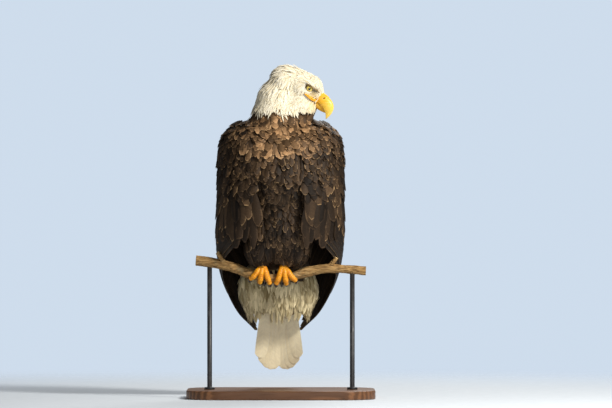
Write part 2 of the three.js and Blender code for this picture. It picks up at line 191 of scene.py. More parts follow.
def body_egg(x, y, z, radii, tilt=0):
    """An egg of the body, with y counted from the perch's line."""
    return np.array([x, y + PERCH_Y, z], float), np.array(radii, float), turned_egg(tilt)


EGGS = [
    head_egg(-30, 0, -5, [45, 31, 31]),  # skull
    head_egg(-6, 0, 8, [24, 24, 21]),  # brows
    head_egg(2, 0, -12, [25, 20, 20]),  # face round the bill's base
    head_egg(-16, 0, -24, [34, 25, 22]),  # cheeks and chin
    head_egg(13, 0, -3, [21, 15, 13]),  # lores
    head_egg(9, 0, -23, [20, 12, 10]),  # chin's tuft
    head_egg(-68, 0, -24, [39, 40, 39]),  # hind crown
    body_egg(-6, -4, 737, [55, 57, 56]),  # nape
    body_egg(50, -28, 728, [38, 40, 34]),  # throat
    body_egg(1, -8, 700, [74, 66, 56]),  # lower neck
    body_egg(0, -16, 578, [118, 96, 136]),  # breast
    body_egg(0, 28, 600, [104, 78, 120]),  # mantle
    body_egg(66, 2, 634, [64, 70, 62]),  # left shoulder
    body_egg(-66, 2, 634, [64, 70, 62]),  # right shoulder
    body_egg(-3, 4, 448, [106, 84, 104]),  # belly
    body_egg(-4, 52, 408, [74, 50, 92]),  # rump
    body_egg(36, -8, 392, [43, 46, 60]),  # left thigh
    body_egg(12, -2, 358, [22, 24, 26]),
    body_egg(-54, -8, 392, [43, 46, 60]),  # right thigh
    body_egg(-48, -2, 364, [22, 24, 26]),
    body_egg(-6, 76, 290, [78, 34, 86], 19),  # tail coverts
    body_egg(-78, 84, 266, [30, 24, 72], 19),
    body_egg(64, 84, 260, [30, 24, 76], 19),
]


def face_relief(points):
    """How far the face stands out from the eggs: a shelf over each eye, a hollow for the eye and
    before it, and a low cheek. Each is a product of bells in the head's own axes."""
    forward, right, up = in_head(points)
    side = step(8, 17, np.abs(right))
    brow = 3.6 * bump(up, 10.5 - 0.004 * (forward - 2) ** 2, 3.6) * bump(forward, 3, 17)
    hollow = -3.6 * bump(up, -0.5, 7.5) * bump(forward, 2, 10)
    lore = -1.8 * bump(up, 0, 7) * bump(forward, 18, 8)
    cheek = 1.6 * bump(up, -19, 8) * bump(forward, -10, 16)
    return side * (brow + hollow + lore + cheek)


def slope_of(measure, points, here):
    """How fast a measure grows along each axis, from small steps."""
    steps = [(measure(points + NUDGE * axis) - here) / NUDGE for axis in np.eye(3)]
    return np.stack(steps, axis=-1)


def flesh(points):
    """The distance to the soft union of the eggs, and the direction straight out of it.

    An egg's distance is k(k - 1)/m, where k is the length of the place over the radii and m that
    of the place over the radii squared. The union is minus the softness times the logarithm of
    the sum of e to the minus distance over softness, and the face's relief is taken off it."""
    total = np.full(points.shape[:-1], 1e-30)
    lean = np.zeros_like(points)
    for centre, radii, axes in EGGS:
        scaled = ((points - centre) @ axes.T) / radii
        k = np.linalg.norm(scaled, axis=-1) + 1e-9
        tilted = scaled / radii
        m = np.linalg.norm(tilted, axis=-1) + 1e-9
        weight = np.exp(-np.clip(k * (k - 1) / m, -120, 120) / SOFTNESS)
        total += weight
        lean += (weight / m)[..., None] * (tilted @ axes)
    relief = face_relief(points)
    return -SOFTNESS * np.log(total) - relief, unit(unit(lean) - slope_of(face_relief, points, relief))


def settle(form, points, level=0.0, passes=3):
    """Points moved straight in or out until they lie at a level of a form, with its outward
    directions there."""
    for _ in range(passes):
        distance, out = form(points)
        points = points - out * np.clip(distance - level, -12, 12)[..., None]
    return points, form(points)[1]


# ---------------------------------------------------------------- the wings' form
# Each row runs evenly down from the shoulder to the tip: the oval's outer edge, its centre's X and
# Y, its reach in Y, the degrees at which the arc starts and ends, and the wing's thickness.
WING = {
    "outer": [152, 156, 160, 160, 160, 159, 153, 136, 104, 50],
    "centre_x": [60, 34, 22, 20, 20, 20, 24, 34, 44, 44],
    "centre_y": [4, 4, 6, 8, 14, 24, 40, 62, 94, 158],
    "reach_y": [92, 106, 114, 118, 118, 112, 98, 80, 58, 12],
    "leading": [-60, -66, -71, -72, -71, -62, -20, -2, 0, 0],
    "trailing": [60, 66, 76, 84, 90, 95, 97, 97, 99, 90],
    "thick": [18, 24, 26, 25, 22, 19, 15, 11, 7, 4],
}
WING_LEAN = -8  # how far the tips lie towards the bird's right
SHOULDER = 0.15  # share of the height over which the shoulder rounds off
SHOULDER_FLAT = 0.06  # how far down its round the shoulder starts


def wing_rows(t, *names):
    """Rows of the wing's table at a share of its height."""
    return [along(WING[name], t) for name in names]


def wing_dome(t):
    """How wide the wing is for its table: a quarter circle at the shoulder, then 1."""
    rounded = np.minimum(1, SHOULDER_FLAT + t / SHOULDER)
    return np.sqrt(1 - (1 - np.maximum(rounded, 0)) ** 2)


def wing_place(side, share, t, depth=0.0):
    """A point of a folded wing: at each height an arc of an oval about a centre beside the spine.
    Share runs from the leading edge to the trailing one and t down from shoulder to tip."""
    outer, centre_x, centre_y, reach_y = wing_rows(t, "outer", "centre_x", "centre_y", "reach_y")
    angle = np.radians(mix(*wing_rows(t, "leading", "trailing"), share))
    x = side * (centre_x + wing_dome(t) * (outer - centre_x - depth) * np.cos(angle)) + WING_LEAN * t**2
    y = centre_y + PERCH_Y + wing_dome(t) * (reach_y - depth) * np.sin(angle)
    return np.stack([x, y, mix(WING_TOP, WING_TIP, t) + 0 * x], axis=-1)


def in_oval(side, points):
    """Points in a wing's oval: t down the wing, x and y over the oval's reaches, and those."""
    t = np.clip((WING_TOP - points[..., 2]) / (WING_TOP - WING_TIP), 0, 1)
    outer, centre_x, centre_y, back = wing_rows(t, "outer", "centre_x", "centre_y", "reach_y")
    across = outer - centre_x
    x = (side * (points[..., 0] - WING_LEAN * t**2) - centre_x) / across
    return t, x, (points[..., 1] - PERCH_Y - centre_y) / back, across, back


def wing_share(side, points):
    """Which share of a wing's arc each point lies at, below 0 before its leading edge."""
    t, x, y, _, _ = in_oval(side, points)
    leading, trailing = wing_rows(t, "leading", "trailing")
    return (np.degrees(np.arctan2(y, x)) - leading) / (trailing - leading)


def wing_form(side):
    """The outside of a wing as a form: the oval's own measure of how far out a point lies, less
    one, times the oval's lesser reach. Its direction comes from small steps along the axes."""

    def measure(points):
        t, x, y, across, back = in_oval(side, points)
        return (np.hypot(x, y) - wing_dome(t)) * np.minimum(across, back)

    def form(points):
        here = measure(points)
        slope = slope_of(measure, points, here)
        return here / np.maximum(np.linalg.norm(slope, axis=-1), 0.2), unit(slope)

    return form


def joined_form(points):
    """The soft union of the body and both folded wings, over which the coats of breast and mantle
    run on to the shoulders. Each form is weighed by e to the minus its distance over the softness,
    and the wings only below their tops."""
    total, lean = 1e-30, 0.0
    for form, top in ((flesh, 0), (wing_form(1), 1), (wing_form(-1), 1)):
        distance, out = form(points)
        distance = distance + top * 40 * step(WING_TOP - 34, WING_TOP - 8, points[..., 2])
        weight = np.exp(-np.clip(distance, -60, 300) / JOINED_SOFTNESS)
        total = total + weight
        lean = lean + out * weight[..., None]
    return -JOINED_SOFTNESS * np.log(total), unit(lean)


def hanging_form(points):
    """The body's form, carried on along the tail's slant below a height and narrowed towards the
    tail there, so that long feathers hang free."""
    low = np.minimum(points[..., 2] - FREE_BELOW, 0)
    wider = -0.006 * low * (points[..., 0] + 6)
    return flesh(points + np.stack([wider, math.tan(TAIL_SLANT) * low, -low], axis=-1))


# ---------------------------------------------------------------- meshes
def link(name, data):
    """A new object in the scene that shows a mesh, a lamp or a camera."""
    thing = bpy.data.objects.new(name, data)
    bpy.context.scene.collection.objects.link(thing)
    return thing


def smooth_faces(mesh):
    """Shades all faces of a mesh smooth."""
    mesh.polygons.foreach_set("use_smooth", np.ones(len(mesh.polygons), bool))


def build(name, points, faces, slot, material, replaces=()):
    """A mesh piece from points in millimetres and rows of corner numbers, riding on the body."""
    mesh = bpy.data.meshes.new(name)
    mesh.vertices.add(len(points))
    mesh.vertices.foreach_set("co", (points * MM).astype(np.float32).ravel())
    mesh.loops.add(faces.size)
    mesh.loops.foreach_set("vertex_index", faces.astype(np.int32).ravel())
    mesh.polygons.add(len(faces))
    mesh.polygons.foreach_set("loop_start", np.arange(0, faces.size, faces.shape[1], dtype=np.int32))
    mesh.update(calc_edges=True)
    smooth_faces(mesh)
    mesh.materials.append(material)
    piece = link(name, mesh)
    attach(piece, BODY)
    if replaces:
        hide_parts(*replaces)
    return piece


def paint(piece, name, values):
    """Three numbers for each point, as a vector, or four, as a colour."""
    kind, field = {3: ("FLOAT_VECTOR", "vector"), 4: ("FLOAT_COLOR", "color")}[values.shape[-1]]
    layer = piece.data.attributes.new(name, kind, "POINT")
    layer.data.foreach_set(field, values.astype(np.float32).ravel())


def opaque(colours):
    """Colours with a fourth number, 1."""
    return np.concatenate([colours, np.ones(colours.shape[:-1] + (1,))], axis=-1)


def tube_faces(rows, columns):
    """Quads of a grid whose last column meets its first."""
    r, c = np.meshgrid(np.arange(rows - 1), np.arange(columns), indexing="ij")
    here, beside = r * columns + c, r * columns + (c + 1) % columns
    return np.stack([here, beside, beside + columns, here + columns], -1).reshape(-1, 4)


def joined(shells):
    """The points and quads of several surfaces of rings as one."""
    starts = np.cumsum([0] + [rings[..., 0].size for rings in shells])
    points = np.concatenate([rings.reshape(-1, 3) for rings in shells])
    faces = [tube_faces(*rings.shape[:2]) + start for rings, start in zip(shells, starts)]
    return points, np.concatenate(faces)


def pinched(rings):
    """Rings whose first and last are drawn together into poles."""
    rings[0], rings[-1] = rings[0].mean(axis=0), rings[-1].mean(axis=0)
    return rings


def capped(rings):
    """Rings with a pole added in the middle of the first and of the last."""
    first, last = (end.mean(axis=1, keepdims=True) + 0 * end for end in (rings[:1], rings[-1:]))
    return np.concatenate([first, rings, last])


def weld(piece):
    """Joins the points of each pole, turns the faces outwards and smooths them."""
    form = bmesh.new()
    form.from_mesh(piece.data)
    bmesh.ops.remove_doubles(form, verts=form.verts, dist=1e-6)
    bmesh.ops.recalc_face_normals(form, faces=form.faces)
    form.to_mesh(piece.data)
    form.free()
    smooth_faces(piece.data)
    piece.data.update()


def closed_piece(name, rings, slot, material, replaces=(), **layers):
    """A closed surface from rings of points, the first and last of which are poles. Each layer is
    painted on its points under its own name."""
    rows, columns = rings.shape[:2]
    piece = build(name, rings.reshape(-1, 3), tube_faces(rows, columns), slot, material, replaces)
    for layer, values in layers.items():
        paint(piece, layer, values.reshape(rows * columns, -1))
    weld(piece)


def sweep(path, radius_across, radius_up, columns, normal):
    """Rings carried along a path: each is an oval across the path's direction, with its second
    radius towards the normal."""
    ahead = unit(np.gradient(path, axis=0))
    side = unit(np.cross(ahead, np.broadcast_to(normal, path.shape)))
    top = np.cross(side, ahead)
    angle = circle(columns)
    wide = radius_across[:, None] * np.cos(angle)
    high = radius_up[:, None] * np.sin(angle)
    return path[:, None] + side[:, None] * wide[..., None] + top[:, None] * high[..., None]


# ---------------------------------------------------------------- colours
DARK_BROWN = srgb(48, 36, 25)
MID_BROWN = srgb(82, 63, 44)
TAN = srgb(168, 137, 98)
GOLDEN = srgb(190, 148, 105)
GOLDEN_TIP = srgb(214, 178, 134)
WHITE = srgb(246, 239, 219)
CREAM = srgb(208, 190, 146)
LORE = srgb(232, 208, 150)
# painted shade: the grey-brown before the eye, under the brow's overhang
LORE_SHADE_GREY = srgb(128, 112, 84)
# painted shade: the grey of the tail's coverts stands for the shade under the body, with some of their
# own darker feather bases
COVERT_SHADE_GREY = srgb(162, 143, 100)
COVERT_PALE = srgb(232, 216, 174)
WING_DARK = srgb(38, 28, 18)
BIB_EDGE = 622  # the middle height of the bib's lower edge


def is_white(points):
    """1 on the head, the hind neck and the tail, 0 on the brown parts."""
    head = step(COLLAR - 12, COLLAR - 4, points[..., 2])
    return np.maximum(head, step(196, 186, points[..., 2]))


def breast_light(points):
    """How far a place lies in the lighter bib across the upper breast, whose lower edge waves."""
    x, y, z = np.moveaxis(points, -1, 0)
    edge = BIB_EDGE + 10 * np.sin(x / 17 + 0.6)
    return step(edge - 14, edge + 16, z) * bump(x, 8, 88) * step(0, -45, y)


def plumage(points):
    """The coat's colour: white head, brown body, lighter gold-brown upper breast, dark wings and
    grey-white under the tail, with painted shade as grey under the tail's coverts and as grey-brown
    before the eye beneath the brow."""
    x, y, z = np.moveaxis(points, -1, 0)
    forward, right, up = in_head(points)
    aside = step(4, 10, np.abs(right))
    colour = DARK_BROWN
    for share, toward in (
        (0.5 + 0.4 * ripple(points, 60, 4), MID_BROWN),
        (0.85 * breast_light(points), mix(MID_BROWN, GOLDEN, 0.62)),
        # painted shade under the body: grey on the skin round the tail's coverts
        (step(335, 318, z) * step(100, 88, np.abs(x + 6)) * step(-10, 20, y), COVERT_SHADE_GREY),
        (is_white(points), WHITE),
        (0.8 * (bump(forward, 20, 14) * bump(up, -6, 10) * aside), LORE),
        # painted shade before the eye, under the brow
        (0.9 * (bump(forward, 14, 8) * bump(up, 2.5, 5.5) * aside), LORE_SHADE_GREY),
    ):
        colour = mix(colour, toward, share[..., None])
    return colour


# ---------------------------------------------------------------- shader building
def new_material(name, roughness, specular, **sockets):
    """A material, its tree and its Principled shader with plain settings."""
    material = bpy.data.materials.new(name)
    material.use_nodes = True
    shader = next(n for n in material.node_tree.nodes if n.type == "BSDF_PRINCIPLED")
    for key, value in {"Roughness": roughness, "Specular_IOR_Level": specular, **sockets}.items():
        shader.inputs[key.replace("_", " ")].default_value = value
    return material, material.node_tree, shader


def add(tree, kind, **settings):
    """A node, with its properties and the plain values of its sockets set by name."""
    node = tree.nodes.new("ShaderNode" + kind)
    for key, value in settings.items():
        if hasattr(node, key):
            setattr(node, key, value)
        else:
            node.inputs[key.replace("_", " ")].default_value = value
    return node


def wire(tree, *links):
    """Links from outputs to inputs."""
    for source, target in links:
        tree.links.new(source, target)


def feed(tree, sockets, values):
    """Sets each socket to a number or a colour, or links it to an output."""
    for socket, value in zip(sockets, values):
        if hasattr(value, "links"):
            tree.links.new(value, socket)
        elif isinstance(value, (int, float)):
            socket.default_value = value
        else:
            socket.default_value = (*value[:3], 1)


def sum_of(tree, operation, *values):
    """The output of a maths node, each input being a socket or a number."""
    node = add(tree, "Math", operation=operation)
    feed(tree, node.inputs, values)
    return node.outputs[0]


def spread(tree, value, low, high, to_low=0.0, to_high=1.0):
    """A value moved smoothly from one range to another and held at its ends."""
    node = add(tree, "MapRange", interpolation_type="SMOOTHSTEP")
    feed(tree, node.inputs[:5], (value, low, high, to_low, to_high))
    return node.outputs["Result"]


def layered(tree, colour, *layers):
    """A colour with others laid over it, each as (share, colour)."""
    for share, over in layers:
        node = add(tree, "Mix", data_type="RGBA")
        feed(tree, (node.inputs[0], node.inputs[6], node.inputs[7]), (share, colour, over))
        colour = node.outputs[2]
    return colour


def scaled(tree, colour, by):
    """A colour times a value."""
    node = add(tree, "VectorMath", operation="SCALE")
    wire(tree, (colour, node.inputs[0]), (by, node.inputs["Scale"]))
    return node.outputs[0]


def painted(tree, layer, output="Vector"):
    """What was painted on a mesh's points under a name."""
    return add(tree, "Attribute", attribute_name=layer).outputs[output]


def split(tree, vector):
    """The three numbers of a vector."""
    parts = add(tree, "SeparateXYZ")
    wire(tree, (vector, parts.inputs[0]))
    return parts.outputs


def cells(tree, scale, feature="F1", stretch=None):
    """Distances in a pattern of cells in the object's own space, to their middles or edges."""
    place = add(tree, "TexCoord").outputs["Object"]
    if stretch:
        squash = add(tree, "Mapping", Scale=stretch)
        wire(tree, (place, squash.inputs["Vector"]))
        place = squash.outputs[0]
    pattern = add(tree, "TexVoronoi", Scale=scale, feature=feature)
    wire(tree, (place, pattern.inputs["Vector"]))
    return pattern.outputs["Distance"]


def dress(tree, shader, colour, height, strength, distance, roughness=None):
    """Joins a surface's colour, its height by way of a bump, and its roughness to the shader."""
    raised = add(tree, "Bump", Strength=strength, Distance=distance)
    wire(
        tree,
        (colour, shader.inputs["Base Color"]),
        (height, raised.inputs["Height"]),
        (raised.outputs[0], shader.inputs["Normal"]),
    )
    if roughness is not None:
        wire(tree, (roughness, shader.inputs["Roughness"]))


def new_group(name, inputs, outputs):
    """A node group with named sockets: (name, kind, value) for inputs, (name, kind) for outputs."""
    group = bpy.data.node_groups.new(name, "ShaderNodeTree")
    for label, kind, value in inputs:
        socket = group.interface.new_socket(name=label, in_out="INPUT", socket_type="NodeSocket" + kind)
        if value is not None:
            socket.default_value = value
    for label, kind in outputs:
        group.interface.new_socket(name=label, in_out="OUTPUT", socket_type="NodeSocket" + kind)
    return group, group.nodes.new("NodeGroupInput").outputs, group.nodes.new("NodeGroupOutput").inputs


def use_group(tree, group, **values):
    """A node group placed in a material, with its inputs set by name."""
    node = tree.nodes.new("ShaderNodeGroup")
    node.node_tree = group
    for key, value in values.items():
        node.inputs[key.replace("_", " ")].default_value = value
    return node


def make_mottle_group():
    """Mottling in the object's own space: noise, stretched along the axes. Field is the noise and
    Mask is the noise between From Low and From High, spread from To Low to To High."""
    group, given, out = new_group(
        "mottling",
        [
            ("Stretch", "Vector", (1, 1, 1)),
            ("Scale", "Float", 1.0),
            ("Detail", "Float", 2.0),
            ("Roughness", "Float", 0.5),
            ("From Low", "Float", 0.0),
            ("From High", "Float", 1.0),
            ("To Low", "Float", 0.0),
            ("To High", "Float", 1.0),
        ],
        [("Mask", "Float"), ("Field", "Float")],
    )
    stretched = add(group, "VectorMath", operation="MULTIPLY")
    wire(
        group,
        (add(group, "TexCoord").outputs["Object"], stretched.inputs[0]),
        (given["Stretch"], stretched.inputs[1]),
    )
    noise = add(group, "TexNoise")
    wire(group, (stretched.outputs[0], noise.inputs["Vector"]))
    for label in ("Scale", "Detail", "Roughness"):
        wire(group, (given[label], noise.inputs[label]))
    field = noise.outputs["Fac"]
    mask = spread(group, field, given["From Low"], given["From High"], given["To Low"], given["To High"])
    wire(group, (mask, out["Mask"]), (field, out["Field"]))
    return group


def make_vane_group():
    """A feather's web: fine barbs that sweep from the shaft to the edge, clumps of barbs a few
    millimetres wide, a paler shaft and a rim of its own colour. Vane holds the millimetres across
    and along and the nearness to the rim."""
    group, given, out = new_group(
        "feather_web",
        [
            ("Vane", "Vector", None),
            ("Tint", "Color", None),
            ("Edge", "Color", None),
            ("Seed", "Float", 0.0),
            ("Streak", "Float", 0.5),
            ("Rim Start", "Float", 0.45),
            ("Shaft", "Float", 0.35),
            ("Clump", "Float", 0.4),
        ],
        [("Color", "Color"), ("Height", "Float")],
    )
    parts = split(group, given["Vane"])
    across = sum_of(group, "ABSOLUTE", parts["X"])
    sweep_back = sum_of(group, "MULTIPLY_ADD", across, -0.85, parts["Y"])
    shift = sum_of(group, "MULTIPLY", given["Seed"], 37.0)
    place = add(group, "CombineXYZ")
    clumps = add(group, "TexNoise", Scale=1.0, Detail=3.0, Roughness=0.6)
    wire(
        group,
        (sum_of(group, "MULTIPLY_ADD", sweep_back, given["Clump"], shift), place.inputs["X"]),
        (sum_of(group, "MULTIPLY", parts["X"], 0.06), place.inputs["Y"]),
        (shift, place.inputs["Z"]),
        (place.outputs[0], clumps.inputs["Vector"]),
    )
    clump = clumps.outputs["Fac"]
    wave = sum_of(group, "SINE", sum_of(group, "MULTIPLY", sweep_back, 7.5))
    shaft = spread(group, across, 0.25, 0.75, 1.0, 0.0)
    ragged = sum_of(group, "MULTIPLY_ADD", sum_of(group, "SUBTRACT", clump, 0.5), 0.9, parts["Z"])
    rim = spread(group, ragged, given["Rim Start"], sum_of(group, "ADD", given["Rim Start"], 0.35))
    web = layered(group, given["Tint"], (rim, given["Edge"]))
    streaked = scaled(group, web, spread(group, clump, 0.3, 0.7, 0.55, 1.35))
    on_shaft = sum_of(group, "MULTIPLY", shaft, given["Shaft"])
    colour = layered(group, web, (given["Streak"], streaked), (on_shaft, given["Edge"]))
    ridges = sum_of(group, "MULTIPLY_ADD", clump, 1.6, shaft)
    height = sum_of(group, "MULTIPLY_ADD", wave, 0.22, ridges)
    wire(group, (colour, out["Color"]), (height, out["Height"]))
    return group


MOTTLE = make_mottle_group()
FEATHER_WEB = make_vane_group()


def mottle(tree, scale, low, high, to_low=0.0, to_high=1.0, detail=2.0, roughness=0.5, stretch=(1, 1, 1)):
    """The mottling group in a material: its mask and its field."""
    node = use_group(tree, MOTTLE, Scale=scale, Detail=detail, Roughness=roughness, Stretch=stretch)
    sockets = [node.inputs[label] for label in ("From Low", "From High", "To Low", "To High")]
    feed(tree, sockets, (low, high, to_low, to_high))
    return node.outputs["Mask"], node.outputs["Field"]


# ---------------------------------------------------------------- the coat's and the skin's materials
def feather_material(name, roughness, gloss, sheen, relief, **web):
    """A coat material: the feather web over the colours painted on each vane, with soft sheen."""
    material, tree, shader = new_material(name, roughness, gloss, Sheen_Weight=sheen, Sheen_Roughness=0.5)
    vane = use_group(tree, FEATHER_WEB, **web)
    for layer, source, target in (
        ("vane", "Vector", "Vane"),
        ("tint", "Color", "Tint"),
        ("edge", "Color", "Edge"),
        ("tint", "Alpha", "Seed"),
    ):
        wire(tree, (painted(tree, layer, source), vane.inputs[target]))
    dress(tree, shader, vane.outputs["Color"], vane.outputs["Height"], relief, 0.0006)
    return material


WHITE_COAT = feather_material("white_coat", 0.8, 0.15, 0.1, 0.08, Streak=0.16, Shaft=0.04, Clump=0.6)
BROWN_COAT = feather_material(
    "brown_coat", 0.6, 0.16, 0.0, 0.14, Streak=0.5, Shaft=0.03, Clump=0.5, Rim_Start=0.3
)
FLIGHT_COAT = feather_material(
    "flight_coat", 0.45, 0.2, 0.0, 0.3, Streak=0.5, Shaft=0.35, Clump=0.3, Rim_Start=0.6
)
TAIL_COAT = feather_material(
    "tail_coat", 0.62, 0.2, 0.05, 0.4, Streak=0.14, Shaft=0.3, Clump=0.16, Rim_Start=0.6
)


def make_skin_material():
    """Bare skin under the coat, in the coat's colours darkened as painted shade between the feathers,
    with the fine pits of feather roots.
    """
    material, tree, shader = new_material("skin", 0.7, 0.3)
    shade, _ = mottle(tree, 90.0, 0.3, 0.7, 0.7, 1.15, detail=4.0)
    colour = scaled(tree, painted(tree, "tint", "Color"), shade)
    dress(tree, shader, colour, cells(tree, 260.0), 0.5, 0.0008)
    return material


SKIN = make_skin_material()

# ---------------------------------------------------------------- vanes
PATCH = 0.003  # how wide each small vane's patch is on the unwrapped skin


def vane_faces(stations, columns):
    """Quads of one closed vane: a top grid and an under grid that share their rim."""
    k, j = np.meshgrid(np.arange(stations), np.arange(columns), indexing="ij")
    top = k * columns + j
    inner = (k > 0) & (k < stations - 1) & (j > 0) & (j < columns - 1)
    under = np.where(inner, stations * columns + (k - 1) * (columns - 2) + j - 1, top)

    def quads(grid):
        return np.stack([grid[:-1, :-1], grid[1:, :-1], grid[1:, 1:], grid[:-1, 1:]], -1).reshape(-1, 4)

    return np.concatenate([quads(top), quads(under)[:, ::-1]]), inner


def vanes(name, web, out, thick, s, t, span, tint, edge, seed, patches, patch_size, slot, material):
    """Many closed vanes as one piece. Web holds each vane's grid of points and out their outward
    directions; s and t say how far across, -1 to 1, and along, 0 to 1, and span holds the
    millimetres across and along. The rim's points carry 1 as their nearness to the rim."""
    grid = web.shape[:3]
    count, stations, columns = grid
    faces, inner = vane_faces(stations, columns)
    raised = out * (thick / 2 * np.ones((stations, columns)))[..., None]
    above = web + raised
    above[:, ~inner] = web[:, ~inner]

    def both(values):
        """Values of the top grid's points, then those of the under grid's."""
        values = np.broadcast_to(values, grid + values.shape[-1:])
        return np.concatenate([values.reshape(count, -1, values.shape[-1]), values[:, inner]], axis=1)

    points = np.concatenate([above.reshape(count, -1, 3), (web - raised)[:, inner]], axis=1)
    size = points.shape[1]
    corners = (faces[None] + np.arange(count)[:, None, None] * size).reshape(-1, 4)
    piece = build(name, points.reshape(-1, 3), corners, slot, material)
    on_rim = (~inner) & (np.arange(stations) > stations * 0.3)[:, None]
    rim = np.broadcast_to(on_rim[None, ..., None].astype(float), grid + (1,))
    seeds = np.broadcast_to(seed[:, None, None, None], grid + (1,))
    tint = np.broadcast_to(tint, grid + (3,))
    paint(piece, "vane", both(np.concatenate([span, rim], axis=-1)).reshape(-1, 3))
    paint(piece, "tint", both(np.concatenate([tint, seeds], axis=-1)).reshape(-1, 4))
    paint(piece, "edge", opaque(both(edge)).reshape(-1, 4))
    spots = np.stack(np.broadcast_arrays(s / 2, t[:, None] - 0.5), axis=-1)[None] * patch_size
    flat = both(patches[:, None, None] + spots).reshape(-1, 2)
    unwrapped = piece.data.uv_layers.new(name="OFBake")
    unwrapped.uv.foreach_set("vector", flat[corners.ravel()].astype(np.float32).ravel())
    mark_rims(piece, np.tile(np.concatenate([~inner.ravel(), np.zeros(inner.sum(), bool)]), count))


def mark_rims(piece, rim):
    """Marks as sharp the edges that run from one rim point to the next."""
    ends = np.empty(len(piece.data.edges) * 2, np.int32)
    piece.data.edges.foreach_get("vertices", ends)
    layer = piece.data.attributes.new("sharp_edge", "BOOLEAN", "EDGE")
    layer.data.foreach_set("value", rim[ends.reshape(-1, 2)].all(axis=1))


def sprinkle(form, low, high, spacing, seed):
    """Places spread evenly over a form: the points of a tilted, shaken lattice that lie within
    half a step of its surface, settled onto it."""
    rng = np.random.default_rng(seed)
    low, high = np.asarray(low, float), np.asarray(high, float)
    half = np.linalg.norm(high - low) / 2 + spacing
    ticks = np.arange(-half, half, spacing)
    lattice = np.stack(np.meshgrid(ticks, ticks, ticks, indexing="ij"), -1).reshape(-1, 3)
    tilt = np.linalg.qr(np.array([[3.1, 1.2, 0.4], [-1.1, 2.7, 0.9], [0.3, -1.3, 3.3]]))[0]
    points = lattice @ tilt + (low + high) / 2
    points = points[np.all((points > low) & (points < high), axis=1)]
    distance, _ = form(points)
    points = points[np.abs(distance) < spacing / 2]
    points = points + rng.uniform(-0.22, 0.22, points.shape) * spacing
    return settle(form, points)[0]


def outline(t, point):
    """Half a vane's width as a share of its widest: t^0.42 times 1 - point times t^4, over the
    greatest value that this reaches. Point is 0.4 for a round tip and 0.95 for a sharp one."""
    point = np.asarray(point, float)[..., None]

    def shape(share):
        return share**0.42 * (1 - point * share**4)

    sample = np.linspace(0.02, 1, 60)
    return shape(np.clip(t, 0.02, 1)) / shape(sample).max(axis=-1, keepdims=True)


def lay_coat(name, form, roots, flow, looks, slot, material, stations=7, columns=5, seed=1):
    """Lays one vane from each root. Its middle line walks along the flow on the form, settled at
    each station, and its web is spread to both sides and settled again. The root lies sink below
    the form and the tip rises to lift; the edges bend down by camber.

    Looks holds, for each vane, length, width, sink, lift, camber, point, yaw, tint and edge, and
    may hold ragged, roll and root_shade for them all."""
    rng = np.random.default_rng(seed)
    count = len(roots)
    t = crowded(stations, 1.45)
    s = np.linspace(-1, 1, columns)
    here, out = settle(form, roots)
    rows = []
    turn = looks["yaw"][:, None]
    for k in range(stations):
        ahead = flow(here)
        ahead = unit(ahead - out * dot(ahead, out)[:, None])
        ahead = ahead * np.cos(turn) + np.cross(out, ahead) * np.sin(turn)
        rows.append((here, ahead, out))
        if k + 1 < stations:
            here = here + ahead * (looks["length"] * (t[k + 1] - t[k]))[:, None]
            here, out = settle(form, here, passes=2)
    line, ahead, out = (np.stack(row, axis=1) for row in zip(*rows))
    side = np.cross(out, ahead)
    half = looks["width"][:, None] / 2 * outline(t, looks["point"])
    frayed = 1 + 0.03 * rng.normal(size=(count, stations, columns)) * (np.abs(s) > 0.9)
    across = half[..., None] * s * frayed
    torn = rng.uniform(-1.0, 0.6, (count, 1, columns))
    uneven = looks.get("ragged", 0.04) * torn * step(0.5, 1, t)[:, None]
    blunt = np.clip(0.62 - 0.5 * looks["point"], 0.05, 1)[:, None, None]
    drawn_back = blunt * looks["width"][:, None, None] * (s**2 * (t**5)[:, None])
    far = looks["length"][:, None, None] * uneven - drawn_back
    web = line[:, :, None] + side[:, :, None] * across[..., None] + ahead[:, :, None] * far[..., None]
    flat = web.reshape(-1, 3)
    distance, direction = form(flat)
    flat = flat - direction * np.clip(distance, -8, 8)[:, None]
    direction = direction.reshape(web.shape)
    rise = mix(-looks["sink"][:, None], looks["lift"][:, None], t**0.85)[..., None]
    fold = looks["camber"][:, None, None] * (half / looks["width"][:, None])[..., None] * 2 * s**2
    roll = rng.normal(0, looks.get("roll", 0.10), (count, 1, 1)) * across
    web = flat.reshape(web.shape) + direction * (rise - fold + roll)[..., None]
    span = np.stack(np.broadcast_arrays(across, (t * looks["length"][:, None])[..., None]), axis=-1)
    # each vane darker towards its root: partly the feather's own darker base, partly painted shade where
    # the vanes overlap
    root_tone_and_shade = mix(looks.get("root_shade", 0.5), 1.0, t)[:, None, None]
    tint, edge = looks["tint"][:, None, None] * root_tone_and_shade, looks["edge"][:, None, None]
    thick = 0.55 * (1 - 0.6 * s**2)
    seeds = rng.uniform(0, 1, count)
    patches = skin_unwrap(roots)
    vanes(name, web, direction, thick, s, t, span, tint, edge, seeds, patches, PATCH, slot, material)


def skin_unwrap(points):
    """Where points lie on the skin's own unwrap: the angle round the upright middle line, and the
    height, each spread from 0.01 to 0.99 over the points given."""
    angle = np.arctan2(points[:, 1] - PERCH_Y, points[:, 0])
    flat = np.stack([angle, points[:, 2]], axis=-1)
    low, high = flat.min(axis=0), flat.max(axis=0)
    return 0.01 + 0.98 * (flat - low) / np.maximum(high - low, 1e-6)


BACKWARDS = unit(np.array([-0.94, 0.34, 0.0]))  # level, away from the way the head looks


def body_flow(points):
    """The lie of the coat: back from the bill on the face, level over the crown, down and back on
    the neck, and down the body."""
    forward, _, up = in_head(points)
    z = points[..., 2]
    face = step(-62, 4, forward) * (0.35 + 0.65 * step(-24, 10, up)) * step(700, 742, z)
    neck = 0.35 * step(690, 740, z)
    lie = mix(unit(DOWN + neck[..., None] * BACKWARDS), -FORWARD, face[..., None])
    return unit(mix(lie, BACKWARDS, 0.85 * step(790, 812, z)[..., None]))


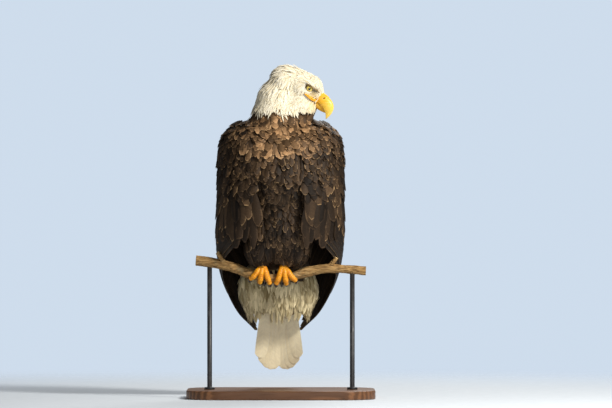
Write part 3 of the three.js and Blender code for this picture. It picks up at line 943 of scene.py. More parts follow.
def shared_looks(count, seed, length, width, sink, lift, camber, point, yaw=0.14, loose=1.2):
    """Sizes for a number of vanes, each shaken a little about its middle value."""
    rng = np.random.default_rng(seed)

    def shaken(value, by):
        return value * (1 + by * rng.uniform(-1, 1, count))

    return {
        "length": shaken(length, 0.2),
        "width": shaken(width, 0.2),
        "sink": shaken(sink, 0.1),
        "lift": lift + loose * rng.uniform(-0.7, 1.0, count),
        "camber": shaken(camber, 0.4),
        "point": np.clip(shaken(point, 0.15), 0, 0.96),
        "yaw": rng.normal(0, yaw, count),
    }


def alter(looks, **changes):
    """Changes looks by name: a name with _by is multiplied and one with _more is added to."""
    for key, value in changes.items():
        name, _, how = key.partition("_")
        if how == "by":
            looks[name] = looks[name] * value
        else:
            looks[name] = looks[name] + value


def one_worn(count, seed):
    """How worn each of a number of feathers is, evenly from 0 to 1, as a column."""
    return np.random.default_rng(seed).uniform(0, 1, (count, 1))


# ---------------------------------------------------------------- the skin
SKIN_DEPTH, FACE_DEPTH = -6.0, -2.0  # how far under the form the skin lies, and on the face
SKIN_VOXEL = 0.0035
QUILLS_ONLY = 0.62  # share of the wing's height below which there is no flesh
FLESH_NODES = ["head", "neck", "trunk", "leg_left", "leg_right", "wing_left", "wing_right"]
FLESH_NODES += ["tail_coverts", "tail"]


def skin_depth(points):
    """The level of the body's form at which the skin lies: less deep on the head."""
    return mix(SKIN_DEPTH, FACE_DEPTH, step(738, 762, points[..., 2]))


def rayed(centre, pole, rings, spokes, longest, level=skin_depth):
    """Rings of points where rays from a centre meet a level of the body's form. Each ray is walked
    inwards from its longest by the distance that the form gives. Level is a function of place."""
    polar = np.linspace(0, math.pi, rings)[:, None]
    around = circle(spokes)[None]
    side = unit(np.cross(pole, [0.3, 0.9, 0.2]))
    other = np.cross(pole, side)
    ray = (
        np.cos(polar)[..., None] * pole
        + (np.sin(polar) * np.cos(around))[..., None] * side
        + (np.sin(polar) * np.sin(around))[..., None] * other
    )
    ray[0], ray[-1] = pole, -np.asarray(pole)
    far = np.full(ray.shape[:2], longest)
    for _ in range(60):
        place = centre + ray * far[..., None]
        far = np.clip(far - 0.8 * (flesh(place)[0] - level(place)), 3, longest)
    return centre + ray * far[..., None]


def wing_flesh(side):
    """The fleshy part of a folded wing: the outer and inner faces of the wing, drawn in by the
    coat's depth, from the shoulder to where only quills go on."""
    t = mix(0.04, QUILLS_ONLY, np.linspace(0, 1, 40) ** 1.2)[:, None]
    face = np.linspace(0, 1, 24)
    share = np.concatenate([face, face[::-1]])[None]
    inside = np.concatenate([np.zeros(24), np.ones(24)])[None]
    depth = 4.0
    room = np.maximum(along(WING["thick"], t) - depth - 2, 3) * step(QUILLS_ONLY, 0.5, t)
    lens = np.sin(math.pi * np.clip(share, 0.0, 1.0)) ** 0.5
    below = depth + 0.3 + room * (0.5 + (inside - 0.5) * lens)
    return pinched(wing_place(side, mix(0.06, 0.95, share), t, below))


def make_skin():
    """The skin: closed surfaces round the head, the neck, the trunk, the tail coverts and the
    wings' flesh, grown together into one and smoothed."""
    shells = [
        rayed(head_point([-34, 0, -6]), FORWARD, 90, 96, 90.0),
        rayed(np.array([4.0, -8 + PERCH_Y, 724]), -DOWN, 48, 64, 100.0),
        rayed(np.array([0.0, 6 + PERCH_Y, 530]), -DOWN, 64, 72, 260.0),
        rayed(np.array([-6.0, 70 + PERCH_Y, 300]), -DOWN, 48, 64, 125.0, lambda p: skin_depth(p) - 2),
        wing_flesh(1),
        wing_flesh(-1),
    ]
    skin = build("skin", *joined(shells), "brown_feathers", SKIN, FLESH_NODES)
    weld(skin)
    grown = skin.modifiers.new("grown_together", "REMESH")
    grown.mode = "VOXEL"
    grown.voxel_size = SKIN_VOXEL
    eased = skin.modifiers.new("eased", "SMOOTH")
    eased.factor = 0.6
    eased.iterations = 4
    dependencies = bpy.context.evaluated_depsgraph_get()
    skin.data = bpy.data.meshes.new_from_object(skin.evaluated_get(dependencies))
    skin.modifiers.clear()
    smooth_faces(skin.data)
    places = np.empty(len(skin.data.vertices) * 3, np.float32)
    skin.data.vertices.foreach_get("co", places)
    places = places.reshape(-1, 3).astype(float) / MM
    # painted shade: the skin is painted darker than the coat, to half under brown and a little under
    # white, so the gaps between vanes read dark
    paint(skin, "tint", opaque(plumage(places) * mix(0.5, 0.92, is_white(places))[..., None]))


make_skin()


# ---------------------------------------------------------------- the body's coat
def under_wing(points, front, back):
    """True where a wing covers the body, between two shares of its arc."""
    covered = np.zeros(len(points), bool)
    for side, _ in BOTH_SIDES:
        share = wing_share(side, points)
        here = (side * points[:, 0] > 4) & (points[:, 2] < 672) & (points[:, 2] > 380)
        covered |= here & (share > front) & (share < back)
    return covered


def brown_looks(roots, looks, seed):
    """Brown vanes: a dark web with a paler rim, both lighter on the upper breast, and a few older
    feathers bleached."""
    rng = np.random.default_rng(seed)
    count = len(roots)
    base = plumage(np.minimum(roots, [1e3, 1e3, COLLAR - 14]))
    worn = rng.uniform(0, 1, (count, 1))
    chest = breast_light(roots)[:, None]
    patch = 1 + 0.35 * ripple(roots, 50, seed)[:, None]
    # painted shade: brown vanes tucked under the white hackles are darkened for the shade the hackles
    # cast
    neck_shade = mix(1.0, 0.45, step(712, 730, roots[:, 2:]))
    old = step(0.55, 0.95, worn)
    rim = mix(base * 1.3 * patch, TAN, 0.6 * old)
    looks["tint"] = base * mix(0.3, 1.3, worn**1.3) * patch * mix(1.0, 1.7, chest * old) * neck_shade
    looks["edge"] = mix(rim, mix(TAN, GOLDEN_TIP, worn), 0.85 * chest * old) * neck_shade
    tossed = 2.6 * ripple(roots, 38, seed + 1)
    alter(looks, width_by=1 + 0.35 * chest[:, 0], yaw_more=0.34 * ripple(roots, 70, seed + 2))
    looks["lift"] = looks["lift"] + tossed + 6.0 * rng.uniform(0, 1, count) ** 5
    looks.update(root_shade=0.35, ragged=0.045, roll=0.2)


def lay_trunk():
    """The brown coat of the trunk, in five pieces: chest, breast, belly, mantle and back. It is
    left out where the wings cover it and over the tail's coverts."""
    zones = [
        ("chest", joined_form, 9.6, (564, 742), True, dict(length=36, width=16, loose=1.6)),
        ("breast", flesh, 9.4, (450, 564), True, dict(length=32, width=14.5, loose=2.0)),
        ("belly", flesh, 9.4, (324, 450), True, dict(length=36, width=13.5, loose=2.0)),
        ("mantle", joined_form, 13.0, (540, 742), False, dict(length=50, width=25, loose=1.2)),
        ("back", flesh, 13.0, (330, 540), False, dict(length=48, width=25, loose=1.2)),
    ]
    for number, (name, form, spacing, (low, high), in_front, size) in enumerate(zones):
        roots = sprinkle(form, (-150, -150, low), (150, 130, high), spacing, 11 + number)
        shares = (0.24, 0.82) if form is joined_form else (0.10, 0.93)
        roots = roots[~under_wing(roots, *shares)]
        behind = roots[:, 1] > 6 + PERCH_Y
        over_tail = roots[:, 2] < 324 + 34 * step(30, 58, np.abs(roots[:, 0] + 8))
        spots = roots[(behind != in_front) & ~over_tail]
        looks = shared_looks(
            len(spots), 20 + number, sink=5.5, lift=0.8, camber=2.6, point=0.38, yaw=0.2, **size
        )
        brown_looks(spots, looks, 30 + number)
        by_neck = step(690, 716, spots[:, 2])
        looks["lift"] = mix(looks["lift"], -1.8, by_neck)
        alter(looks, length_by=1 - 0.3 * by_neck)
        seed = 40 + number
        lay_coat(f"coat_{name}", form, spots, body_flow, looks, "brown_feathers", BROWN_COAT, 7, 7, seed)


def lay_trousers():
    """The long thigh feathers that hang over the tops of the feet."""
    roots = sprinkle(flesh, (-105, -110, 342), (85, 30, 402), 8.5, 17)
    spots = roots[roots[:, 1] < 14 + PERCH_Y]
    size = dict(length=58, width=13, sink=5, lift=2.2, camber=1.8, point=0.75, loose=2.4)
    looks = shared_looks(len(spots), 27, **size)
    brown_looks(spots, looks, 37)
    lay_coat("coat_trousers", flesh, spots, body_flow, looks, "brown_feathers", BROWN_COAT, seed=47)


def lay_tail_coverts():
    """The long soft feathers over and under the root of the tail."""
    roots = sprinkle(flesh, (-112, -30, FREE_BELOW - 8), (100, 120, 352), 7.0, 12)
    spots = roots[(roots[:, 2] < 340) & (roots[:, 1] > 2 + PERCH_Y)]
    size = dict(length=58, width=8.5, sink=6, lift=0.4, camber=0.9, point=0.9, loose=2.4)
    looks = shared_looks(len(spots), 51, **size)
    rng = np.random.default_rng(52)
    worn = rng.uniform(0, 1, (len(spots), 1)) * 0.6 + 0.2 + 0.35 * ripple(spots, 46, 54)[:, None]
    worn = np.clip(worn, 0, 1)
    by_edge = step(FREE_BELOW + 40, FREE_BELOW, spots[:, 2])
    alter(looks, yaw_more=0.2 * ripple(spots, 60, 55))
    alter(looks, length_by=1 - 0.35 * by_edge * rng.uniform(0, 1, len(spots)))
    # partly painted shade: the darkest tint is the shaded grey, partly the coverts' own darker bases
    looks["tint"] = mix(COVERT_SHADE_GREY * 0.62, COVERT_PALE, worn)
    looks["edge"] = mix(COVERT_SHADE_GREY * 0.9, COVERT_PALE, worn)
    looks["root_shade"] = 0.6
    coat = ("white_feathers", WHITE_COAT)
    lay_coat("coat_tail_coverts", hanging_form, spots, body_flow, looks, *coat, seed=53)


lay_trunk()
lay_trousers()
lay_tail_coverts()


# ---------------------------------------------------------------- the head's coat
LOCK_TURN = 0.5  # how many radians round the neck each lock of hackles takes


def white_coat(name, spots, looks, stations):
    """White vanes, creamier and darker towards the root, partly their own base and partly painted shade,
    and now and then a shade darker.
    """
    worn = one_worn(len(spots), 70 + stations)
    base = plumage(np.maximum(spots, [-1e3, -1e3, COLLAR + 2]))
    looks["tint"] = base * mix(CREAM / WHITE, np.ones(3), worn**0.5)
    looks["edge"] = mix(looks["tint"], base * 1.03, 0.6)
    looks["root_shade"] = 0.86
    lay_coat(name, flesh, spots, body_flow, looks, "white_feathers", WHITE_COAT, stations, 3, seed=71)


def lay_face():
    """Tiny feathers on the face and small ones on the crown, longer in a fringe at the throat.
    They leave out the eyes and the lips."""
    face = dict(length=8.5, width=2.4, sink=1.7, lift=0.1, camber=0.4, point=0.8, loose=0.35)
    crown = dict(length=21, width=3.8, sink=2.4, lift=0.4, camber=0.6, point=0.9, loose=0.8)
    zones = [("coat_face", 2.5, (-6, 34.5), face, 1.0), ("coat_crown", 3.6, (-66, -6), crown, 0.4)]
    for number, (name, spacing, (back, front), size, fringe) in enumerate(zones):
        roots = sprinkle(flesh, (-70, -125, 690), (135, 30, 845), spacing, 60 + number)
        forward, right, up = in_head(roots)
        aside = np.abs(right)
        mask = (forward > back) & (forward <= front) & (roots[:, 2] > COLLAR - 22)
        eye = (((forward - 0.5) / 13.0) ** 2 + ((up - 0.5) / 9.8) ** 2 < 1) & (aside > 8)
        lips = (forward > -3) & (up > -21.5) & (up < -12.0 + 2.5 * step(12, 24, forward)) & (aside > 5)
        kept = mask & ~eye & ~lips
        spots = roots[kept]
        looks = shared_looks(len(spots), 62 + number, yaw=0.16, **size)
        near = (bump(forward, 12, 17) * bump(up, -3, 13) * step(4, 10, aside))[kept]
        throat = step(COLLAR + 12, COLLAR - 12, spots[:, 2])
        tufted = 0.5 + 0.5 * ripple(spots, 13, 57 + number)
        alter(looks, length_by=1 - 0.55 * near, width_by=1 - 0.5 * near)
        alter(
            looks,
            length_more=8.5 * throat * (0.4 + 1.5 * tufted) * fringe,
            width_by=1 + 0.4 * throat * (1 - number),
            yaw_more=0.5 * throat * (tufted - 0.5),
            lift_more=1.6 * throat * tufted,
        )
        white_coat(name, spots, looks, 5)


def lay_hackles():
    """The long pointed feathers down the neck, drawn together into locks at their ends."""
    roots = sprinkle(flesh, (-80, -125, COLLAR - 8), (110, 40, 845), 4.1, 64)
    forward, _, up = in_head(roots)
    under = (roots[:, 2] < COLLAR + 10) & (forward < 26) & (up < -20 - 6 * step(0, 10, forward))
    spots = roots[((forward < -42) | under) & (roots[:, 2] > COLLAR - 6)]
    size = dict(length=42, width=4.3, sink=3.2, lift=0.4, camber=0.6, point=0.94, loose=1.0)
    looks = shared_looks(len(spots), 65, yaw=0.15, **size)
    rng = np.random.default_rng(66)
    x, y, z = spots.T
    ruffled = step(770, 800, z) * rng.uniform(0, 1, len(spots)) ** 3
    uneven = rng.uniform(0.75, 1.1, len(spots))
    around = np.arctan2(y - PERCH_Y, x) + 0.09 * np.sin(z / 9) + 1.25
    around = around + 0.06 * ripple(spots, 60, 69)
    lock = step(COLLAR + 40, COLLAR + 4, z)
    middle = np.cos(2 * math.pi * around / LOCK_TURN)
    alter(looks, lift_more=6.0 * ruffled, length_by=uneven)
    alter(looks, yaw_more=-(0.42 * lock * np.sin(2 * math.pi * around / LOCK_TURN)))
    alter(looks, lift_more=1.5 * lock * middle, length_by=1 + lock * 0.2 * middle)
    alter(looks, length_by=1 + 0.15 * ripple(spots, 26, 67) * lock)
    white_coat("coat_neck", spots, looks, 6)


lay_face()
lay_hackles()


# ---------------------------------------------------------------- the wings' coat
def covert_rows(side, first, last, row_gap, gap, seed, front=0.0, back=1.0):
    """Roots in staggered rows across a wing, from one share of its height to another."""
    rng = np.random.default_rng(seed)
    rows = []
    height = WING_TOP - WING_TIP
    for number, t in enumerate(np.arange(first, last, row_gap / height)):
        share = np.linspace(front, back, 80)
        line = wing_place(side, share, np.full(80, t))
        length = np.concatenate([[0], np.cumsum(np.linalg.norm(np.diff(line, axis=0), axis=1))])
        ticks = np.arange((number % 2) * gap / 2, length[-1], gap)
        ticks = ticks + rng.uniform(-0.16, 0.16, len(ticks)) * gap
        shares = np.interp(ticks, length, share)
        shaken = t + rng.uniform(-0.15, 0.15, len(ticks)) * row_gap / height
        rows.append(wing_place(side, shares, np.clip(shaken, 0.004, 1)))
    return np.concatenate(rows)


def wing_flow(side):
    """The lie of the wing coat: down, and a little towards the trailing edge."""

    def flow(points):
        turn = 0.12 + 0.10 * ripple(points, 110, 6 + side)
        return unit(DOWN + turn[..., None] * np.array([0.0, 1.0, 0.0]))

    return flow


def lay_wing(side, name):
    """The rows of lesser, median and greater coverts down a wing."""
    lesser = dict(length=28, width=18, sink=4, lift=0.6, camber=2.4, point=0.4)
    median = dict(length=44, width=24, sink=4, lift=0.2, camber=2.6, point=0.4)
    greater = dict(length=84, width=27, sink=3.5, lift=1.8, camber=2.8, point=0.4, loose=1.0)
    zones = [
        ("lesser", 0.012, 0.20, 9.5, 12.5, lesser),
        ("median", 0.20, 0.34, 13, 16, median),
        ("greater", 0.34, 0.44, 20, 17, greater),
    ]
    for number, (zone, first, last, row_gap, gap, size) in enumerate(zones):
        spots = covert_rows(side, first, last, row_gap, gap, 80 + number)
        looks = shared_looks(len(spots), 84 + number, yaw=0.09, **size)
        worn = one_worn(len(spots), 87 + number)
        base = mix(DARK_BROWN, MID_BROWN, 0.7 * worn)
        patch = 1 + 0.3 * ripple(spots, 60, 88 + number)[:, None]
        looks["tint"] = base * mix(0.4, 1.15, worn**1.3) * patch
        looks["edge"] = mix(base * 1.3, TAN, 0.7 * step(0.5, 1.0, worn)) * patch
        looks["ragged"] = 0.07
        alter(looks, lift_more=1.4 * ripple(spots, 40, 89 + number))
        alter(looks, yaw_more=0.16 * ripple(spots, 70, 99 + number))
        lay_on_wing(f"coat_{zone}_{name}", side, spots, looks, 90 + number)


def lay_scapulars(side, name):
    """The large feathers that lie from each shoulder over the back and close the gap between the
    wings, their rows running past the wing's trailing edge."""
    spots = covert_rows(side, 0.07, 0.47, 21, 21, 95, 0.80, 1.10)
    size = dict(length=74, width=34, sink=3.0, lift=3.2 + 0.8 * side, camber=2.6, point=0.35, loose=1.2)
    looks = shared_looks(len(spots), 96, yaw=0.08, **size)
    worn = one_worn(len(spots), 97)
    base = mix(DARK_BROWN, MID_BROWN, 0.7 * worn)
    looks["tint"] = base * mix(0.55, 1.2, worn**1.3)
    looks["edge"] = mix(base * 1.7, TAN, 0.08 + 0.6 * worn**2)
    lay_on_wing(f"coat_scapular_{name}", side, spots, looks, 98)


def lay_on_wing(name, side, spots, looks, seed):
    """Lays a coat piece on a wing's form along its own flow."""
    coat = ("flight_feathers", BROWN_COAT)
    lay_coat(name, wing_form(side), spots, wing_flow(side), looks, *coat, seed=seed)


for side, name in BOTH_SIDES:
    lay_wing(side, name)
    lay_scapulars(side, name)


def strips(count):
    """The middles of strips side by side on an unwrap, and the size of each."""
    middles = np.stack([(np.arange(count) + 0.5) / count, np.full(count, 0.5)], axis=-1)
    return middles, np.array([0.9 / count, 0.96])


def lay_quills(name, side, quills, depth, facing):
    """The long feathers of a folded wing. Each row of quills gives the share and height of its
    root, those of its tip, its half width and its layer's height over the wing's form."""
    root_share, root_t, tip_share, tip_t, half, layer = (q[:, None] for q in np.asarray(quills, float).T)
    count = len(quills)
    k = crowded(22, 1.35)
    s = np.linspace(-1, 1, 9)
    share = mix(root_share, tip_share, k**1.15)
    t = mix(root_t, tip_t, k)
    small = 0.01
    along_arc = wing_place(side, share + small, t) - wing_place(side, share, t)
    per_share = np.linalg.norm(along_arc, axis=-1) / small
    wide = half * outline(k, np.full(count, 0.55))
    shares = share[..., None] + (wide / np.maximum(per_share, 8))[..., None] * s
    shares = np.clip(shares, -0.015, 1.14)
    heights = np.broadcast_to(t[..., None], shares.shape)
    web = wing_place(side, shares, heights, depth)
    by_share = wing_place(side, shares + small, heights, depth) - web
    by_height = wing_place(side, shares, np.minimum(heights + small, 1.01), depth) - web
    out = unit(np.cross(by_height, by_share)) * side * facing
    root_drop = 9.0 * max(facing, 0) * (1 - step(0.12, 0.62, k))
    rise = layer[..., None] - root_drop[:, None] - 1.3 * s**2 * step(0, 0.2, k)[:, None]
    web = web + out * rise[..., None]
    span = np.stack(np.broadcast_arrays(wide[..., None] * s, (k * 300)[:, None]), axis=-1)
    rng = np.random.default_rng(101)
    worn = rng.uniform(0, 1, (count, 1))[:, None, None]
    tint = mix(WING_DARK * 0.55, WING_DARK, worn)
    edge = mix(DARK_BROWN, TAN, 0.10 + 0.4 * worn**2)
    thick = 0.7 * (1 - 0.7 * s**2)
    seeds = rng.uniform(0, 1, count)
    coat = (*strips(count), "flight_feathers", FLIGHT_COAT)
    vanes(name, web, out, thick, s, k, span, tint, edge, seeds, *coat)


def primary(n):
    """One of ten primaries, whose tips stand lower the nearer they are to the middle of the row."""
    tip = 0.90 + 0.10 * math.sin(math.pi * (9 - n) / 12 + 0.5) - 0.002 * n * n
    return (0.05 + 0.05 * n, 0.31, 0.10 + 0.085 * n, tip, 15, -1.5 + 0.25 * n)


def fold_wing(side, name):
    """Ten primaries down the wing's leading edge, twelve secondaries above them and five
    tertials over the back, each overlapping the one before it, and nine feathers as a lining."""
    quills = [primary(n) for n in range(10)]
    for n in range(12):
        quills.append((0.10 + 0.060 * n, 0.29, 0.16 + 0.066 * n, 0.80 - 0.006 * n, 17, 1.0 + 0.22 * n))
    for n in range(5):
        quills.append((0.80 + 0.055 * n, 0.32, 0.84 + 0.06 * n, 0.74 - 0.025 * n, 22, 3.8 + 0.4 * n))
    lining = []
    for n in range(9):
        lining.append((0.08 + 0.11 * n, 0.45, 0.10 + 0.10 * n, 0.93 - 0.015 * n, 20, 1.0 + 0.2 * n))
    lay_quills(f"quills_{name}", side, quills, 0.0, 1)
    lay_quills(f"lining_{name}", side, lining, 5.0, -1)


for side, name in BOTH_SIDES:
    fold_wing(side, name)

# ---------------------------------------------------------------- the tail
TAIL_ROOT = np.array([-6.0, 57, 344])
TAIL_LONG = 292
TAIL_HALF = 62
TAIL_QUILLS = 12
QUILL_HALF = 17.5
TAIL_DOWN = np.array([0, math.sin(TAIL_SLANT), -math.cos(TAIL_SLANT)])
TAIL_BACK = np.array([0, math.cos(TAIL_SLANT), math.sin(TAIL_SLANT)])


def lay_tail():
    """Twelve tail feathers, closed together: the middle pair behind and the outer ones stepped
    forwards over them, with tips that leave a shallow notch in the middle."""
    order = np.arange(TAIL_QUILLS)
    place = (order - 5.5) / 5.5
    k = crowded(30, 1.6)
    s = np.linspace(-1, 1, 11)
    tip = TAIL_LONG - 11 * bump(place, 0, 0.16) - 96 * np.clip(np.abs(place) - 0.42, 0, 1) ** 2.0
    middle_line = place[:, None] * mix(14, TAIL_HALF - 16.5, k**0.85)
    shape = outline(np.clip(k, 0.25, 1), np.full(TAIL_QUILLS, 0.3))
    wide = QUILL_HALF * mix(0.6, 1, k**0.7) * shape
    across = middle_line[..., None] + wide[..., None] * s
    blunt = 0.9 * wide[..., None] * s**2 * (k**8)[:, None]
    far = (tip[:, None] * k)[..., None] * np.ones(len(s)) - blunt
    layer = (np.abs(place) * 5.5)[:, None, None] * -0.75
    arch = -((across / TAIL_HALF) ** 2) * 7 + 1.0 * s**2 + 0.5 * np.sin(far / 40 + order[:, None, None])
    web = (
        TAIL_ROOT
        + far[..., None] * TAIL_DOWN
        + (layer + arch)[..., None] * TAIL_BACK
        + across[..., None] * np.array([1.0, 0, 0])
    )
    out = np.broadcast_to(TAIL_BACK, web.shape)
    span = np.stack(np.broadcast_arrays(wide[..., None] * s, far), axis=-1)
    rng = np.random.default_rng(120)
    worn = rng.uniform(0, 1, (TAIL_QUILLS, 1)) ** 0.5
    warm = WHITE * [1.05, 1.01, 0.87]
    tint = mix(mix(CREAM, warm, 0.75), warm, worn)[:, None, None]
    thick = 0.8 * (1 - 0.7 * s**2)
    seeds = rng.uniform(0, 1, TAIL_QUILLS)
    coat = (*strips(TAIL_QUILLS), "white_feathers", TAIL_COAT)
    vanes("tail_feathers", web, out, thick, s, k, span, tint, WHITE, seeds, *coat)


lay_tail()

# ---------------------------------------------------------------- bill
CULMEN = [[23, 7.5], [51, 10], [88, 4], [72.5, -41]]
CUTTING_EDGE = [[18, -15], [45, -17], [62, -19], [71.5, -42]]
MANDIBLE_TOP = [[-10, -15.5], [16, -14.5], [42, -15], [64, -23]]
MANDIBLE_KEEL = [[-8, -20], [18, -35], [46, -37.5], [64.5, -29]]
CERE_END = 0.27  # where the soft cere gives way to horn, as a share of the upper bill
NOSTRIL = (41, -0.5)  # forward and up from between the eyes
GAPE_FRONT, GAPE_BACK, GAPE_UP = 39, -4.0, -17.3
HEAD_SIDES = ((1, "right"), (-1, "left"))  # towards the head's right and its left


def make_horn_material():
    """Bill horn: yellow, more orange at its base, with faint growth lines along it, small stains,
    nostrils painted dark as the shade inside their openings, and a soft clear gloss. Horn holds the share
    along, the nostril and the cere."""
    material, tree, shader = new_material(
        "bill_horn",
        0.42,
        0.4,
        Coat_Weight=0.12,
        Coat_Roughness=0.3,
        Subsurface_Weight=0.08,
        Subsurface_Radius=(0.004, 0.002, 0.0008),
    )
    share, nostril, cere = list(split(tree, painted(tree, "horn")))
    along_it = (60, 60, 340)
    streak, lines = mottle(tree, 1.0, 0.42, 0.75, 0, 0.35, detail=4.0, roughness=0.6, stretch=along_it)
    stain, _ = mottle(tree, 120.0, 0.55, 0.8, 0, 0.4, detail=5.0, roughness=0.65)
    _, fine = mottle(tree, 900.0, 0, 1)
    colour = layered(
        tree,
        srgb(240, 176, 30),
        (spread(tree, share, 0.05, 0.85), srgb(249, 208, 84)),
        (streak, srgb(255, 228, 140)),
        (stain, srgb(196, 132, 34)),
        (spread(tree, cere, 0.5, 1.0, 0, 0.35), srgb(232, 160, 24)),
        # painted shade: the nostril's opening darkened, the slit itself being only a shallow dent
        (spread(tree, nostril, 0.35, 0.8), srgb(58, 34, 12)),
    )
    height = sum_of(tree, "MULTIPLY_ADD", fine, 0.3, lines)
    dress(tree, shader, colour, height, 0.35, 0.0005, spread(tree, cere, 0.2, 0.9, 0.4, 0.55))
    return material


HORN = make_horn_material()


def bill_section(columns):
    """Half a bill's section: how far out and how high each point lies, from -1 to 1. It arches from
    the ridge down one side to the cutting edge, and returns under a low roof to the other: the
    height is a cosine, and out is the root of 1 minus a power of the height."""
    turned = np.linspace(-1, 1, columns, endpoint=False)
    far = np.abs(turned)
    height = np.cos(math.pi * np.minimum(far / 0.75, 1))
    under = np.maximum((far - 0.75) / 0.25, 0)
    out = np.sqrt(1 - ((1 + height) / 2) ** 2.4) * (1 - 0.14 * ((1 - height) / 2) ** 4) * (1 - under)
    return out * np.sign(turned), height + 0.25 * np.sin(math.pi / 2 * under)


def bill_rings(ridge_curve, edge_curve, half_width, rows, columns):
    """Rings of a bill half between its ridge and its cutting edge, both curves in the head's
    middle plane, as wide as half_width says."""
    t = np.linspace(0, 1, rows) ** 0.92
    out, height = bill_section(columns)
    ridge, edge = bezier(ridge_curve, t), bezier(edge_curve, t)
    middle_line, half = (ridge + edge) / 2, (ridge - edge) / 2
    plane = middle_line[:, None] + half[:, None] * height[None, :, None]
    across = half_width(t)[:, None] * out
    return pinched(np.stack([plane[..., 0], across, plane[..., 1]], axis=-1)), t


def make_upper_bill():
    """The hooked upper bill, with a slightly swollen cere and a slanting slit of a nostril."""
    places, t = bill_rings(CULMEN, CUTTING_EDGE, lambda t: 12.6 * (1 - t**2.2) + 1.0, 110, 96)
    middle_line = places.mean(axis=1, keepdims=True)
    cere = 1 - step(CERE_END - 0.012, CERE_END + 0.012, t)
    places = middle_line + (places - middle_line) * (1 + 0.045 * cere)[:, None, None]
    forward, right, up = np.moveaxis(places, -1, 0)
    slit = bump(forward, NOSTRIL[0] + 0.45 * (up - NOSTRIL[1]), 2.3) * bump(up, NOSTRIL[1], 2.9)
    slit = slit * step(2, 5, np.abs(right))
    places[..., 1] -= np.sign(right) * 2.4 * slit
    horn = np.stack([t[:, None] + 0 * slit, slit, cere[:, None] + 0 * slit], axis=-1)
    closed_piece("bill_upper_horn", head_point(places), "bill", HORN, ["bill_upper"], horn=horn)


def make_lower_bill():
    """The lower bill, shut inside the upper one's edges."""
    places, t = bill_rings(MANDIBLE_KEEL, MANDIBLE_TOP, lambda t: 15 - 11.5 * t**1.3, 60, 48)
    horn = np.zeros(places.shape)
    horn[..., 0] = 0.3 * t[:, None]
    closed_piece("bill_lower_horn", head_point(places), "bill", HORN, ["bill_lower"], horn=horn)


def make_gape(side, name):
    """The soft yellow lips that run back from the bill's corner to below the eye: two thin rolls
    laid on the cheek, one over the other."""
    t = np.linspace(0, 1, 40)
    forward = mix(GAPE_FRONT, GAPE_BACK, t)
    for lip, shift, full in (("upper", 1.3, 3.1), ("lower", -2.0, 2.2)):
        up = GAPE_UP + shift * (1 - 0.8 * step(0.6, 1.0, t)) * (1 - 0.4 * step(0.45, 0.0, t))
        line, _ = settle(flesh, head_point(np.stack([forward, side * (24 + 0 * t), up], axis=-1)), -0.9)
        on_bill = head_point(np.stack([forward, side * mix(8.5, 13.0, t / 0.4), up], axis=-1))
        line = mix(line, on_bill, step(23, 33, forward)[:, None])
        size = full * step(0, 0.5, t) ** 0.5 * np.sqrt(np.clip(1 - t**8, 0, 1)) * mix(1, 0.6, t**2) + 0.02
        rings = pinched(sweep(line, size, size, 16, UP))
        horn = np.zeros(rings.shape)
        horn[..., 2] = 0.8
        closed_piece(f"gape_{lip}_{name}", rings, "bill", HORN, horn=horn)


make_upper_bill()
make_lower_bill()
for side, name in HEAD_SIDES:
    make_gape(side, name)

# ---------------------------------------------------------------- eyes, lids and brows
IRIS = 8.3  # the coloured part's radius
PUPIL = 2.9
BULGE = 0.9  # how far the clear front stands out from the ball
EYE_DEEP = 16.0  # how far each eyeball's middle lies to its side of the head's middle
GAZE_AHEAD = math.radians(24)
LID_BACK = 1.42  # the angle from the gaze at which the lids end under the coat
LID_DARK = srgb(52, 42, 30)
LID_YELLOW = srgb(206, 176, 104)
# painted shade: the brow ridge's own yellowish grey darkened to the brown of the shade line over the eye
BROW_SHADE_BROWN = srgb(138, 112, 70)
BROW_OUT = [27.0, 30.0, 30.6, 30.4, 29.4, 27.2, 23.4, 19.2, 15.0]  # from behind the eye forwards
BROW_UP = [1.5, 5.0, 6.9, 7.4, 7.4, 7.2, 6.8, 6.0, 4.6]


def make_eye_material():
    """A wet eye: black pupil, pale yellow iris with fibres and a dark outer ring, dark beyond.
    Iris holds the distance from the gaze's axis in millimetres and the direction round it."""
    material, tree, shader = new_material("eye", 0.06, 0.6, Coat_Weight=1.0, Coat_Roughness=0.02)
    iris = painted(tree, "iris")
    fibres = add(tree, "TexNoise", Scale=1.0, Detail=4.0, Roughness=0.7)
    stretch = add(tree, "VectorMath", operation="MULTIPLY")
    stretch.inputs[1].default_value = (0.25, 9, 9)
    wire(tree, (iris, stretch.inputs[0]), (stretch.outputs[0], fibres.inputs["Vector"]))
    far = split(tree, iris)["X"]
    colour = layered(
        tree,
        srgb(214, 180, 66),
        (spread(tree, fibres.outputs["Fac"], 0.35, 0.65), srgb(248, 228, 124)),
        (spread(tree, far, IRIS - 2.2, IRIS - 0.2, 0, 0.75), srgb(150, 116, 40)),
        (spread(tree, far, PUPIL + 0.9, PUPIL, 0, 0.5), srgb(176, 140, 50)),
        (spread(tree, far, IRIS + 0.4, IRIS - 0.15, 1, 0), srgb(30, 22, 14)),
        (spread(tree, far, PUPIL - 0.25, PUPIL + 0.15, 1, 0), srgb(6, 5, 5)),
    )
    wire(tree, (colour, shader.inputs["Base Color"]))
    return material


def make_face_skin_material():
    """Bare skin of the face: its painted colour with wrinkles, warts and darker creases."""
    material, tree, shader = new_material("face_skin", 0.5, 0.4)
    shade, folds = mottle(tree, 420.0, 0.35, 0.65, 0.6, 1.2, detail=5.0, roughness=0.7)
    colour = scaled(tree, painted(tree, "tint", "Color"), shade)
    height = sum_of(tree, "MULTIPLY_ADD", cells(tree, 900.0), 0.6, folds)
    dress(tree, shader, colour, height, 0.7, 0.0005)
    return material


EYE = make_eye_material()
FACE_SKIN = make_face_skin_material()


